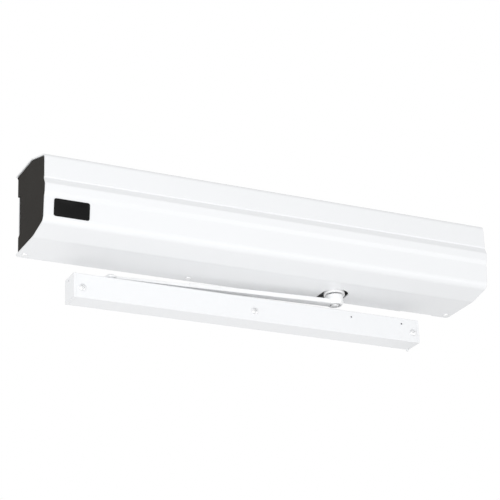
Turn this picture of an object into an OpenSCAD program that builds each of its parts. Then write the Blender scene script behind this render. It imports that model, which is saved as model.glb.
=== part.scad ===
// Low energy door operator with a slide track arm, hung on the wall over a door.
// X runs along the wall, the wall is the plane Y = 0 and the room is on the -Y side.
// The origin is the centre of the back plate's four corner holes, on the wall.
// A depth is measured from the wall into the room, a height from the cover's underside.

/* [Cover] */
// Length of the cover
cover_len = 711; // [700:1:900]
// Height of the cover
cover_h = 123.6; // [121:0.1:135]
// Wall thickness of the cover
cover_wall = 2; // [1.5:0.1:2.6]
// Depth of the flat part of the top
top_flat = 64; // [50:1:80]
// Depth of the upper front face
face_depth = 120.2; // [117:0.1:130]
// Height of the upper front face's top edge
face_top_h = 107; // [95:0.5:112]
// How far the band stands out from the upper front face
band_proud = 3.2; // [1:0.1:6]
// Height of the band's lower edge
band_low_h = 50.2; // [47:0.1:54]
// Height of the band's upper edge
band_high_h = 61.6; // [58:0.1:66]
// Height of the shadow groove over the band
groove_h = 72.2; // [68:0.1:76]
// Depth of the shadow groove
groove_deep = 1.4; // [0.6:0.1:1.8]
// Depth of the front edge between the lower face and the chamfer
chin_depth = 116.4; // [108:0.1:118]
// Height of that edge
chin_h = 8.4; // [5:0.1:14]
// Depth of the flat part of the underside
under_flat = 74.6; // [60:0.5:90]
// Width of the slot round the spindle
slot_w = 41.8; // [40:0.1:50]
// How far the slot's middle lies to the right of the spindle
slot_shift = 2.4; // [0:0.1:2.6]
// Distance of the wire notch's middle from the cover's right end
wire_notch_in = 57.5; // [45:0.5:70]
// Width of the wire notch in the cover's back edge
wire_notch_w = 57; // [30:1:70]
// Length of the cut across the cover's lower back corners
corner_cut = 3.5; // [1:0.5:5]
// Depth of the wire notch
wire_notch_deep = 2; // [1:0.1:4]
// Distance of the end cover screws from the cover's ends
cover_screw_in = 10; // [8:0.5:14]
// Place of the middle cover screw along the cover
cover_screw_mid_x = -95; // [-150:1:-60]
// Depth of the cover screws
cover_screw_depth = 12; // [9:0.5:14]

/* [End caps and badge] */
// Thickness of an end cap's face
cap_t = 3; // [2:0.1:4]
// How far an end cap's face lies inside the cover's end
cap_recess = 1; // [0.4:0.1:1.6]
// Gap round an end cap
cap_gap = 0.6; // [0.1:0.05:0.8]
// Depth of an end cap's skirt inside the cover
cap_skirt = 9; // [5:0.5:12]
// Depth of the end caps' back edge below the notch
cap_back = 8; // [5:0.5:9]
// Depth of the end caps' back edge above the notch
cap_high_back = 5.5; // [4.5:0.5:9]
// Height of the tab that runs on under the cover's top
cap_tab_h = 3; // [2:0.1:6]
// Depth of the notch in the end caps' back edge
cap_notch_deep = 8.5; // [4:0.5:10]
// Height of the notch's lower end
cap_notch_low_h = 27; // [20:0.5:34]
// Height of the notch's upper end
cap_notch_high_h = 88; // [80:0.5:96]
// Width of the badge plate
badge_w = 52; // [40:1:60]
// Height of the badge plate
badge_h = 25.4; // [18:0.2:28]
// Thickness of the badge plate
badge_t = 0.8; // [0.5:0.1:1.5]
// Distance of the badge plate from the cover's left end
badge_in = 14; // [8:0.5:40]

/* [Back plate] */
// Thickness of the back plate
plate_t = 3; // [2:0.1:3.5]
// Gap between the back plate's ends and the cover's ends
plate_end_gap = 4.8; // [4.6:0.1:8]
// Depth of the back plate's flanges
flange_depth = 20; // [18:0.5:26]
// Gap between the back plate's flanges and the cover
plate_gap = 0.3; // [0.1:0.05:0.5]
// Height of the origin over the cover's underside
mount_h = 62; // [58:0.5:64]
// Distance of the end wall screws from the cover's ends
mount_in = 20.5; // [17.5:0.5:30]
// Spacing of the wall screws up the plate
mount_span_z = 76; // [60:1:84]
// Radius of the wall screw holes
mount_hole_r = 3.5; // [2.5:0.1:4.5]
// Radius of the wire entry holes
entry_r = 11; // [8:0.5:12]

/* [Closer] */
// Distance of the spindle's axis from the cover's right end
spindle_in = 219; // [210:0.5:250]
// Depth of the spindle's axis
spindle_depth = 32; // [30:0.5:34]
// Radius of the piston bore
bore_r = 22; // [21:0.5:23]
// Height of the piston bore's axis
bore_h = 32.5; // [32:0.5:34]
// Thickness of the closer body's wall round the bore
body_wall = 4.5; // [4:0.1:5]
// Radius of the spindle's journals
journal_r = 8; // [7.5:0.1:8.5]
// Radius of the bearing seats
seat_r = 13; // [12.8:0.1:13.6]
// Width of a bearing
bearing_w = 7.5; // [6:0.1:8]
// Radius of the spindle bosses
boss_r = 15.4; // [15.3:0.1:17]
// How far the lower boss stands out under the cover
boss_drop = 2.6; // [0.5:0.1:2.8]
// Wire radius of the closing spring
spring_wire_r = 2.6; // [2:0.1:3]
// Rest length of the closing spring
spring_len = 98; // [80:1:110]
// Turns of the closing spring
spring_turns = 9; // [7:1:11]
// Diameter of the closer's end plugs over the bore
plug_rim = 3; // [2:0.5:4]

/* [Gears] */
// Pressure angle of all the teeth
pressure = 25; // [22:0.5:27]
// Sideways play between meshed teeth
backlash = 0.3; // [0.15:0.05:0.5]
// Module of the spindle pinion and the rack
rack_m = 2; // [1.8:0.05:2.1]
// Teeth of the spindle pinion
rack_teeth = 10; // [9:1:11]
// Module of the gears near the spindle
slow_m = 1.5; // [1.4:0.02:1.56]
// Module of the motor's pair of gears
fast_m = 1.25; // [1.1:0.05:1.35]
// Teeth of the spindle gear
spindle_teeth = 32; // [28:1:33]
// Teeth of the small gears
pinion_teeth = 12; // [11:1:13]
// Teeth of the first idler's large gear
idler_teeth = 30; // [26:1:30]
// Teeth of the second idler's large gear
second_teeth = 40; // [36:1:44]
// Width of the spindle gear
slow_w = 10; // [8:0.5:11]
// Width of the first idler's large gear
middle_w = 7; // [5:0.5:8]
// Width of the second idler's large gear
fast_w = 5; // [4:0.5:6]
// Gap between gears over one another
gear_gap = 1.6; // [1:0.1:2]
// Radius of the idler shafts
shaft_r = 3; // [2.5:0.1:3.2]
// Running clearance on the shafts
run = 0.05; // [0.02:0.01:0.08]
// Thickness of the gear plates
gear_plate_t = 3; // [2:0.1:3.5]
// Radius of the motor
motor_r = 21; // [18:0.5:22]
// Length of the motor can
motor_len = 34; // [28:0.5:35]
// Length of the gearhead
gearhead_len = 17; // [14:0.5:18]

/* [Arm] */
// Length of the arm from the spindle to the slider's pin
arm_len = 355.5; // [330:0.5:380]
// Height of the arm's underside at the hub
arm_low_h = -19.4; // [-20.4:0.1:-18.5]
// How far the arm's underside drops towards its end
arm_droop = 1.5; // [0:0.1:1.6]
// Thickness of the arm near the hub
arm_t = 7.1; // [6:0.1:8]
// Thickness of the arm at the step
arm_step_t = 6.3; // [5.2:0.1:6.8]
// Thickness of the arm's thin part beside the step
arm_thin_t = 4.7; // [3.4:0.1:5]
// Thickness of the arm's thin end
arm_end_t = 3.2; // [2.5:0.1:4]
// Distance of the step from the slider's pin
arm_step_in = 120; // [60:1:160]
// Half width of the arm near the hub
arm_root_half = 7.6; // [7:0.1:10]
// Half width of the arm at the step
arm_step_half = 4.4; // [4.3:0.1:6.5]
// Half width of the arm's thin end
arm_end_half = 4; // [3.4:0.1:4.2]
// Radius of the arm's hub beside the arm
hub_r = 13.2; // [12.8:0.1:16]
// Radius of the arm's hub at its lower face
hub_foot_r = 11; // [10.6:0.1:12.5]
// Radius of the arm's hub at its top
hub_top_r = 12.9; // [10.5:0.1:13]
// Gap between the arm's hub and the cover's underside
hub_gap = 4.4; // [4:0.1:6]
// Width of the spindle's square end
square_w = 11; // [10:0.1:11.2]
// Width across the flats of the spindle screw's head
screw_flats = 10; // [8:0.5:11]
// Room round that head in its recess
screw_room = 2.6; // [1:0.1:2.8]
// Radius of the eye at the arm's end
eye_r = 8.4; // [8:0.1:10]
// Radius of the slider's pin
pin_r = 3.5; // [3:0.1:4]

/* [Track] */
// Length of the track with its end plates
track_len = 560; // [540:1:600]
// Place of the track's middle along the wall
track_x = -1; // [-5:0.5:5]
// Depth of the track
track_depth = 35; // [34:0.1:40]
// Height of the track
track_h = 36.4; // [35.5:0.1:40]
// Gap between the cover's underside and the track
track_drop = 26.1; // [25:0.1:30]
// Wall thickness of the track
track_wall = 2.5; // [2:0.1:2.8]
// Thickness of the track's top
track_top_t = 3; // [2.5:0.1:3.5]
// Width of the slot in the track's top
track_slot_w = 12; // [11.5:0.1:14]
// Height of the chamber that the slider runs in
chamber_h = 11.5; // [10:0.1:11.8]
// Thickness of the track's end plates
end_t = 4; // [3:0.1:5]
// Spacing of the track's screws
track_screw_span = 268; // [250:1:272]
// Distance of the track's screws under its top
track_screw_down = 21.3; // [20.8:0.1:23]
// Radius of the track screws' free ends
track_screw_r = 3; // [2.8:0.05:3.05]
// Radius of the track screws' thin necks inside the track
track_neck_r = 2.4; // [2:0.1:2.6]
// How far the track screws reach behind the track
track_screw_out = 14; // [8:0.5:25]
// Length of the slider
slider_len = 38; // [30:0.5:45]
// Running gap round the slider
slider_gap = 0.3; // [0.2:0.05:0.5]
// Length of the stop block
stop_len = 96; // [92:0.5:110]
// Place of the stop block's middle along the wall
stop_x = 205.5; // [190:0.5:215]
// Length of the stop's rubber buffer
buffer_len = 8; // [5:0.5:12]
// Distance of the set screws from the stop block's ends
stop_screw_in = 4.5; // [4:0.5:12]

/* [Switch] */
// Depth of the rocker switch's middle
switch_depth = 80; // [60:1:88]
// Height of the rocker switch's middle
switch_h = 52; // [40:1:75]
// Width of the rocker switch
switch_w = 20; // [16:0.5:24]
// Length of the rocker switch
switch_len = 30; // [29:0.5:34]
// Length of the switch's body behind the end cap
switch_body_len = 18; // [14:0.5:22]

/* [Electrical parts] */
// Width of the control board
board_w = 216; // [212:1:224]
// Height of the board's lower edge
board_low = 16; // [12:0.5:18]
// Height of the board's upper edge
board_high = 104; // [102:0.5:108]
// Gap between the board and the transformer, for the middle wall screws
board_gap = 20; // [16:0.5:30]
// Gap between the transformer and the gear plate
transformer_gap = 9.8; // [6:0.1:16]
// Width of the transformer's core
core_w = 54; // [48:1:60]
// Height of the transformer's core
core_h = 46; // [40:1:48]
// Thickness of the transformer's core
core_t = 28; // [24:1:34]
// Gap between the closer's lug and the mains terminals
mains_gap = 3.1; // [2:0.1:6]
// Length of the mains terminals
mains_len = 44; // [44:1:46]

/* [Hidden] */
$fn = 48;
tiny = 0.05;
cut = 1;
white = [0.94, 0.94, 0.93];
steel = [0.72, 0.73, 0.75];
alloy = [0.80, 0.81, 0.82];
black = [0.16, 0.155, 0.15];
brass = [0.78, 0.62, 0.30];
board_green = [0.10, 0.38, 0.22];

band_depth = face_depth + band_proud;
inner_top = cover_h - cover_wall;
spindle_x = cover_len / 2 - spindle_in;
front_room = face_depth - groove_deep - cover_wall;
slot_room = 0.3;
seal_rim_r = boss_r + 0.4;
slot_back = sqrt(pow(slot_w / 2 - seal_rim_r - slot_room, 2) - pow(slot_shift, 2));
slot_front = spindle_depth + slot_w / 2 - slot_back;
slot_x = spindle_x + slot_shift;
cover_screw_xs = [cover_screw_in - cover_len / 2, cover_screw_mid_x, cover_len / 2 - cover_screw_in];
wire_notch_x = cover_len / 2 - wire_notch_in;

plate_len = cover_len - 2 * plate_end_gap;
plate_low = cover_wall + plate_gap;
plate_high = inner_top - plate_gap;
flange_top = plate_low + plate_t;
entry_xs = [-wire_notch_x, wire_notch_x];
mount_span_x = cover_len - 2 * mount_in;
entry_h = 86;

body_depth = spindle_depth + bore_r + body_wall + 2;
body_low = bore_h - bore_r - body_wall;
body_high = bore_h + bore_r + body_wall;
arm_swing = 130;
rack_r = rack_m * rack_teeth / 2;
travel = rack_r * arm_swing * PI / 180;
addendum = 0.9;
dedendum = 1.25;
rack_tip_r = rack_r + addendum * rack_m;
piston_slot_left = rack_tip_r + travel + 1.5;
piston_slot_right = rack_tip_r + 1.5;
piston_left = spindle_x - piston_slot_left - 12;
piston_right = spindle_x + piston_slot_right + 14;
piston_gap = 0.1;
plug_len = 12;
body_left = piston_left - 3 - plug_len;
body_right = piston_right + spring_len + 0.6 + plug_len;
lug_w = 14;
lug_h = 13.5;
lug_t = 8;
seal_h = 2.2;
seal_rim_t = 0.7;
seal_skirt = 3.4;
seal_r = seat_r + 1.2;
lower_bearing_h = body_low + 4.4 - bearing_w;
upper_bearing_h = bore_h + bore_r + 0.2;
boss_top = upper_bearing_h + bearing_w;

gear_plate_h = body_high;
slow_h = max(gear_plate_h + gear_plate_t, boss_top) + 2;
middle_h = slow_h + slow_w + gear_gap;
fast_h = middle_h + middle_w + gear_gap;
top_plate_h = fast_h + fast_w + 1.5;
spindle_at = [spindle_x, -spindle_depth];
first_dist = slow_m * (spindle_teeth + pinion_teeth) / 2;
second_dist = slow_m * (idler_teeth + pinion_teeth) / 2;
motor_dist = fast_m * (second_teeth + pinion_teeth) / 2;
first_angle = 215;
second_angle = 188;
motor_angle = 180;
first_at = spindle_at + first_dist * [cos(first_angle), sin(first_angle)];
second_at = first_at + second_dist * [cos(second_angle), sin(second_angle)];
motor_at = second_at + motor_dist * [cos(motor_angle), sin(motor_angle)];
post_r = 4;
gear_room = 3;
post_ats = [
    spindle_at + (slow_m * (spindle_teeth / 2 + 1) + post_r + gear_room) * [cos(20), sin(20)],
    first_at + (slow_m * (idler_teeth / 2 + 1) + post_r + gear_room) * [cos(-80), sin(-80)],
    second_at + (fast_m * (second_teeth / 2 + 1) + post_r + gear_room) * [cos(235), sin(235)],
    second_at + (fast_m * (second_teeth / 2 + 1) + post_r + gear_room) * [cos(120), sin(120)]
];
gear_screw_r = 2;

track_mid_depth = track_depth / 2;
arm_drop = spindle_depth - track_mid_depth;
arm_rest = -asin(arm_drop / arm_len);
pin_x = spindle_x - arm_len * cos(arm_rest);
pin_at = [pin_x, -track_mid_depth];
hub_top_h = -hub_gap;
screw_sink = 5;
screw_head_r = screw_flats / sqrt(3);
screw_flush = 0.6;
eye_bore_r = pin_r + 1.5;
eye_low_h = arm_low_h - arm_droop;
eye_top_h = eye_low_h + arm_end_t;

track_top = -track_drop;
track_low = track_top - track_h;
chamber_top = track_top - track_top_t;
chamber_low = chamber_top - chamber_h;
web_t = 1.8;
lower_top = chamber_low - web_t;
lower_low = track_low + track_wall;
track_in = track_depth - 2 * track_wall;
track_left = track_x - track_len / 2;
track_right = track_x + track_len / 2;
track_screw_h = track_top - track_screw_down;
track_screw_xs = [track_x + 1 - track_screw_span, track_x + 1, track_x + 1 + track_screw_span];
slider_h = chamber_h - 2 * slider_gap;
slider_w = track_in - 2 * slider_gap;
slider_low = chamber_low + slider_gap;
slider_top = slider_low + slider_h;
stop_screw_h = chamber_low + chamber_h * 0.45;
stop_screw_xs = [stop_x - stop_len / 2 + stop_screw_in, stop_x + stop_len / 2 - stop_screw_in];

cap_out = cover_len / 2 - cap_recess;
rocker_axis_x = cap_out - 3.4;
rocker_half = switch_len / 2 - 4;

gear_plate_left = motor_at.x - motor_r - 3;
transformer_x = gear_plate_left - transformer_gap - core_w / 2;
mount_mid_x = transformer_x - core_w / 2 - board_gap / 2;
board_x = mount_mid_x - (board_gap + board_w) / 2;
board_t = 1.6;
board_back = plate_t + 12;
board_front = board_back + board_t;
core_low = 50;
core_back = plate_t + 8;
mains_x = body_right + lug_w + mains_gap + mains_len / 2;

// Outline helpers: a point list runs anticlockwise
function unit(v) = v / norm(v);
function left_of(v) = [-v.y, v.x];
function moved_corner(a, b, c, t) =
    let (u = left_of(unit(b - a)), v = left_of(unit(c - b)))
    b + (u + v) * t / (1 + u * v);
function inset(pts, t) = [
    for (i = [0:len(pts) - 1])
        moved_corner(pts[(i + len(pts) - 1) % len(pts)], pts[i], pts[(i + 1) % len(pts)], t)
];
function turn(u, v) = atan2(u.x * v.y - u.y * v.x, u * v);
function corner_arc(a, b, c, r, steps) =
    r < 0.01 ? [b] :
    let (
        u = unit(a - b),
        v = unit(c - b),
        half = acos(u * v) / 2,
        centre = b + unit(u + v) * r / sin(half),
        p = b + u * r / tan(half) - centre,
        q = b + v * r / tan(half) - centre,
        whole = turn(p, q)
    )
    [for (i = [0:steps]) let (w = whole * i / steps)
        centre + [p.x * cos(w) - p.y * sin(w), p.x * sin(w) + p.y * cos(w)]];
function rounded(pts, radii, steps = 6) = [
    for (i = [0:len(pts) - 1])
        each corner_arc(pts[(i + len(pts) - 1) % len(pts)], pts[i],
            pts[(i + 1) % len(pts)], radii[i], steps)
];
function rounded_box(w, h, r) = rounded(
    [[-w / 2, -h / 2], [w / 2, -h / 2], [w / 2, h / 2], [-w / 2, h / 2]], [r, r, r, r]);

// The cover's outline as depth and height, with each corner's radius; hollow corners are negative
cover_pts = [
    [0, 0],
    [under_flat, 0],
    [chin_depth, chin_h],
    [face_depth - 0.4, band_low_h - 6.4],
    [band_depth - 1.2, band_low_h],
    [band_depth, band_high_h],
    [face_depth - groove_deep, groove_h - 0.8],
    [face_depth, groove_h + 1],
    [face_depth, face_top_h],
    [top_flat, cover_h],
    [0, cover_h]
];
cover_radii = [0, 24, 11, -8, 4, 4, -0.8, 0.4, 7, 24, 0];
function cover_outline(t) = rounded(
    inset(cover_pts, t),
    [for (r = cover_radii) r == 0 ? 0 : r > 0 ? max(0.3, r - t) : -r + t], 5);

module at(x, depth, h) {
    translate([x, -depth, h - mount_h]) children();
}

module at_xy(p, h) {
    translate([p.x, p.y, h - mount_h]) children();
}

// Extrudes a depth and height outline along X, about its middle
module along_x(length) {
    translate([0, 0, -mount_h]) rotate([90, 0, 90])
        linear_extrude(length, center = true) mirror([1, 0]) children();
}

module rod_x(length, r) {
    rotate([0, 90, 0]) cylinder(h = length, r = r);
}

module rod_into_room(length, r) {
    rotate([90, 0, 0]) cylinder(h = length, r = r);
}

module pan_head(r, h) {
    rotate_extrude() polygon([[0, 0], [r, 0], [r, h * 0.45], [r * 0.8, h], [0, h]]);
}

module hex_socket(w, deep) {
    cylinder(h = deep, r = w / sqrt(3), $fn = 6);
}

// Spur gears: involute flanks, teeth centred on the phase angle
function involute_deg(r, base) = r <= base ? 0 : sqrt(r * r / base / base - 1) * 180 / PI - acos(base / r);
function tooth_half(m, z, r) =
    let (pitch_r = m * z / 2, base = pitch_r * cos(pressure))
    90 / z - backlash / 4 / pitch_r * 180 / PI
        + involute_deg(pitch_r, base) - involute_deg(r, base);
function gear_radii(m, z) =
    let (pitch_r = m * z / 2, base = pitch_r * cos(pressure), root = pitch_r - dedendum * m,
        tip = pitch_r + addendum * m, start = max(root, base))
    concat(root < base ? [root] : [], [for (i = [0:4]) start + (tip - start) * i / 4]);
function gear_points(m, z, phase) = [
    for (k = [0:z - 1]) let (radii = gear_radii(m, z), mid = phase + k * 360 / z)
        each concat(
            [for (r = radii) r * [cos(mid - tooth_half(m, z, r)), sin(mid - tooth_half(m, z, r))]],
            [for (i = [len(radii) - 1:-1:0]) let (r = radii[i])
                r * [cos(mid + tooth_half(m, z, r)), sin(mid + tooth_half(m, z, r))]])
];
function meshed_phase(angle, phase, teeth, own_teeth) =
    angle + 180 - (0.5 - (angle - phase) * teeth / 360) * 360 / own_teeth;

module gear(m, z, w, phase) {
    linear_extrude(w) polygon(gear_points(m, z, phase));
}

// A tube along a list of points
function path_way(pts, i) = unit(pts[min(i + 1, len(pts) - 1)] - pts[max(i - 1, 0)]);
function ring_at(p, way, up, r, sides) =
    let (side = unit(cross(way, up)), over = cross(side, way))
    [for (k = [0:sides - 1]) p + r * (side * cos(360 * k / sides) + over * sin(360 * k / sides))];
module tube(pts, r, sides, ups) {
    n = len(pts);
    rings = [for (i = [0:n - 1]) each ring_at(pts[i], path_way(pts, i), ups[i], r, sides)];
    walls = [for (i = [0:n - 2]) for (k = [0:sides - 1])
        [i * sides + k, i * sides + (k + 1) % sides,
            (i + 1) * sides + (k + 1) % sides, (i + 1) * sides + k]];
    first_end = [for (k = [sides - 1:-1:0]) k];
    last_end = [for (k = [0:sides - 1]) (n - 1) * sides + k];
    polyhedron(points = rings, faces = concat(walls, [first_end], [last_end]), convexity = 12);
}
function bent(pts, r, steps) = [
    for (i = [0:len(pts) - 1])
        each (i == 0 || i == len(pts) - 1) ? [pts[i]] :
            let (a = pts[i] + unit(pts[i - 1] - pts[i]) * r, b = pts[i] + unit(pts[i + 1] - pts[i]) * r)
            [for (k = [0:steps]) let (f = k / steps)
                (1 - f) * (1 - f) * a + 2 * f * (1 - f) * pts[i] + f * f * b]
];

module cover_slot() {
    at(slot_x, slot_front - slot_w / 2, -cut) cylinder(h = cover_wall + 2 * cut, r = slot_w / 2);
    at(slot_x - slot_w / 2, slot_front - slot_w / 2, -cut)
        cube([slot_w, slot_front - slot_w / 2 + cut, cover_wall + 2 * cut]);
}

module cover() {
    color(white) difference() {
        along_x(cover_len) difference() {
            polygon(cover_outline(0));
            difference() {
                polygon(cover_outline(cover_wall));
                translate([-cut, -cut]) square([cut, cover_h + 2 * cut]);
            }
            translate([-cut, cover_wall]) square([cover_wall + 2 * cut, cover_h - 2 * cover_wall]);
        }
        cover_slot();
        at(wire_notch_x - wire_notch_w / 2, wire_notch_deep, -cut)
            cube([wire_notch_w, wire_notch_deep + cut, cover_wall + 2 * cut]);
        for (x = cover_screw_xs) at(x, cover_screw_depth, -cut) cylinder(h = cover_wall + 2 * cut, r = 2.2);
        for (s = [-1, 1]) at(s * cover_len / 2, 0, -cut)
            cylinder(h = cover_wall + 2 * cut, r = corner_cut, $fn = 4);
    }
}

module cap_shape(t, extra) {
    notch_back = cap_back + cap_notch_deep + extra;
    tab_low = inner_top - cap_gap - cap_tab_h + extra;
    along_x(t) difference() {
        polygon(cover_outline(cover_wall + cap_gap + extra));
        polygon([
            [-cut, -cut], [cap_back + extra, -cut], [cap_back + extra, cap_notch_low_h - 1.6],
            [notch_back, cap_notch_low_h + 1.6], [notch_back, cap_notch_high_h - 1.8],
            [cap_high_back + extra, cap_notch_high_h + 0.8], [cap_high_back + extra, tab_low],
            [-cut, tab_low]
        ]);
    }
}

// The left cap; the right one is its mirror image
module cap_body() {
    edge = 0.8;
    skirt_t = 2;
    translate([-cap_out + edge / 2, 0, 0]) cap_shape(edge, edge);
    translate([-cap_out + (cap_t + edge) / 2, 0, 0]) cap_shape(cap_t - edge, 0);
    difference() {
        translate([-cap_out + cap_t + cap_skirt / 2, 0, 0]) cap_shape(cap_skirt, 0);
        translate([-cap_out + cap_t + cap_skirt / 2 + cut / 2, 0, 0])
            cap_shape(cap_skirt + cut, skirt_t);
        at(-cap_out + cap_t - tiny, flange_depth + 2, -cut)
            cube([cap_skirt + cut, flange_depth + 2 + cut, cover_h + 2 * cut]);
    }
}

module end_cap_left() {
    color(black) cap_body();
}

module end_cap_right() {
    color(black) difference() {
        mirror([1, 0, 0]) cap_body();
        at(cap_out - cap_t - cut, switch_depth, switch_h) rotate([90, 0, 90])
            linear_extrude(cap_t + 2 * cut) square([switch_w + 0.4, switch_len + 0.4], center = true);
    }
}

module badge_plate() {
    low = [chin_depth, chin_h];
    high = [face_depth - 0.4, band_low_h - 6.4];
    lean = atan2(high.x - low.x, high.y - low.y);
    mid = (low + high) / 2 + unit(high - low) * 3.2;
    color(black) at(badge_in + badge_w / 2 - cover_len / 2, mid.x, mid.y)
        rotate([lean, 0, 0]) rotate([90, 0, 0]) linear_extrude(badge_t)
            polygon(rounded_box(badge_w, badge_h, 3));
}

module back_plate() {
    bend = plate_t + 1;
    color(steel) difference() {
        along_x(plate_len) polygon(rounded(
            [[0, plate_low], [flange_depth, plate_low], [flange_depth, flange_top],
                [plate_t, flange_top], [plate_t, plate_high - plate_t],
                [flange_depth, plate_high - plate_t], [flange_depth, plate_high], [0, plate_high]],
            [bend, 0, 0, 1, 1, 0, 0, bend], 4));
        for (x = [-1, 1], z = [-1, 1])
            at(x * mount_span_x / 2, plate_t + cut, mount_h + z * mount_span_z / 2)
                mirror([0, 1, 0]) rod_into_room(plate_t + 2 * cut, mount_hole_r);
        for (z = [-1, 1])
            at(mount_mid_x, plate_t + cut, mount_h + z * mount_span_z / 2)
                mirror([0, 1, 0]) rod_into_room(plate_t + 2 * cut, mount_hole_r);
        for (x = entry_xs) at(x, plate_t + cut, entry_h)
            mirror([0, 1, 0]) rod_into_room(plate_t + 2 * cut, entry_r + 1.5);
        for (x = cover_screw_xs) at(x, cover_screw_depth, plate_low - cut)
            cylinder(h = plate_t + 2 * cut, r = 2 + tiny);
        at(slot_x - slot_w / 2, flange_depth + cut, plate_low - cut)
            cube([slot_w, flange_depth - plate_t + cut, plate_t + 2 * cut]);
        for (at_lug = lug_screws()) at(at_lug.x, plate_t + cut, at_lug.y)
            mirror([0, 1, 0]) rod_into_room(plate_t + 2 * cut, 2.5 + tiny);
    }
}

module cover_screws() {
    color(white) for (x = cover_screw_xs) at(x, cover_screw_depth, 0) {
        cylinder(h = flange_top + 2, r = 2);
        mirror([0, 0, 1]) difference() {
            pan_head(3.9, 2.2);
            translate([0, 0, 1.2]) cube([4.4, 1, 3], center = true);
            translate([0, 0, 1.2]) cube([1, 4.4, 3], center = true);
        }
    }
}

function lug_screws() = [
    for (x = [body_left - lug_w / 2, body_right + lug_w / 2])
        for (h = [body_low + lug_h / 2, body_high - lug_h / 2]) [x, h]
];

module closer_body() {
    corner = 9;
    rib_t = 3;
    color(alloy) difference() {
        union() {
            translate([(body_left + body_right) / 2, 0, 0]) along_x(body_right - body_left)
                polygon(rounded([[plate_t, body_low], [body_depth, body_low],
                    [body_depth, body_high], [plate_t, body_high]], [1, corner, corner, 1]));
            at(spindle_x, spindle_depth, -boss_drop) cylinder(h = body_low + boss_drop + 1, r = boss_r);
            at(spindle_x, spindle_depth, body_high - 1) cylinder(h = boss_top - body_high + 1, r = boss_r);
            for (x = [body_left - lug_w, body_right - 1], h = [body_low, body_high - lug_h])
                at(x, plate_t + lug_t, h) cube([lug_w + 1, lug_t, lug_h]);
            for (x = [body_left + 14, body_right - 40, body_right - 26, body_right - 12])
                at(x - rib_t / 2, body_depth + 1.6, body_low + corner)
                    cube([rib_t, 3, body_high - body_low - 2 * corner]);
        }
        at(body_left - cut, spindle_depth, bore_h) rod_x(body_right - body_left + 2 * cut, bore_r);
        at(spindle_x, spindle_depth, -boss_drop - cut) cylinder(h = body_high, r = rack_tip_r + 0.5);
        at(spindle_x, spindle_depth, body_high - 10) cylinder(h = 30, r = rack_tip_r + 0.5);
        at(spindle_x, spindle_depth, lower_bearing_h - 20) cylinder(h = 20 + bearing_w, r = seat_r);
        at(spindle_x, spindle_depth, upper_bearing_h) cylinder(h = 30, r = seat_r);
        at(spindle_x, spindle_depth, -boss_drop - cut) cylinder(h = seal_h + cut, r = seal_r);
        for (p = lug_screws()) at(p.x, plate_t - cut, p.y) rod_into_room(lug_t + 2 * cut, 2.75);
        for (p = valve_spots()) at(body_left - cut, p.x, p.y) rod_x(12 + cut, 3);
        for (p = gear_screw_spots()) at(p.x, p.y, body_high - 12) cylinder(h = 14, r = gear_screw_r);
    }
}

function valve_spots() = [
    [plate_t + lug_t + 3.6, body_low + 5], [body_depth - 6, body_low + 6], [body_depth - 6, body_high - 6]
];

function gear_screw_spots() = [
    [body_left + 8, plate_t + 6], [spindle_x + 30, plate_t + 6],
    [spindle_x + 30, body_depth - 7], [first_at.x - 14.5, body_depth - 7]
];

module plug(flip) {
    mirror([flip, 0, 0]) difference() {
        union() {
            rod_x(plug_len, bore_r - tiny);
            translate([-plug_rim, 0, 0]) rod_x(plug_rim, bore_r + 2);
        }
        translate([-plug_rim - cut, 0, 0]) rotate([0, 90, 0]) hex_socket(14, plug_rim + 6);
        translate([plug_len / 2, 0, 0]) rotate([0, 90, 0]) rotate_extrude()
            translate([bore_r - 1.2, 0]) square([3, 3]);
    }
}

module spring_plug() {
    color(steel) at(body_right, spindle_depth, bore_h) plug(1);
}

module valve_plug() {
    color(steel) at(body_left, spindle_depth, bore_h) plug(0);
}

// Rack teeth point at the spindle, with a gap between two teeth opposite it at rest
module rack_slot() {
    pitch = rack_m * PI;
    half = pitch / 4 - backlash / 4;
    slope = tan(pressure);
    first = floor(-(piston_slot_left - 3) / pitch);
    last = floor((piston_slot_right - 2) / pitch) - 1;
    difference() {
        translate([-piston_slot_left, -rack_r - dedendum * rack_m])
            square([piston_slot_left + piston_slot_right, rack_r + rack_tip_r + dedendum * rack_m + 1]);
        for (k = [first:last]) translate([(k + 0.5) * pitch, -rack_r])
            polygon([
                [-half - slope * (dedendum * rack_m + tiny), -dedendum * rack_m - tiny],
                [half + slope * (dedendum * rack_m + tiny), -dedendum * rack_m - tiny],
                [half - slope * addendum * rack_m, addendum * rack_m],
                [-half + slope * addendum * rack_m, addendum * rack_m]
            ]);
    }
}

function seal_xs() = [piston_left + 5, piston_right - 7];

module piston() {
    r = bore_r - piston_gap;
    color(steel) difference() {
        at(piston_left, spindle_depth, bore_h) rod_x(piston_right - piston_left, r);
        at(spindle_x, spindle_depth, bore_h - r - cut) linear_extrude(2 * r + 2 * cut) rack_slot();
        for (x = seal_xs()) at(x - 1.5, spindle_depth, bore_h) difference() {
            rod_x(3, r + cut);
            translate([-cut, 0, 0]) rod_x(3 + 2 * cut, r - 2);
        }
        at(piston_right - 6, spindle_depth, bore_h) rod_x(6 + cut, bore_r - 9);
    }
}

module piston_seals() {
    color(black) for (x = seal_xs()) at(x, spindle_depth, bore_h) rotate([0, 90, 0]) rotate_extrude()
        translate([bore_r - 1.1, 0]) circle(r = 0.95);
}

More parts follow.
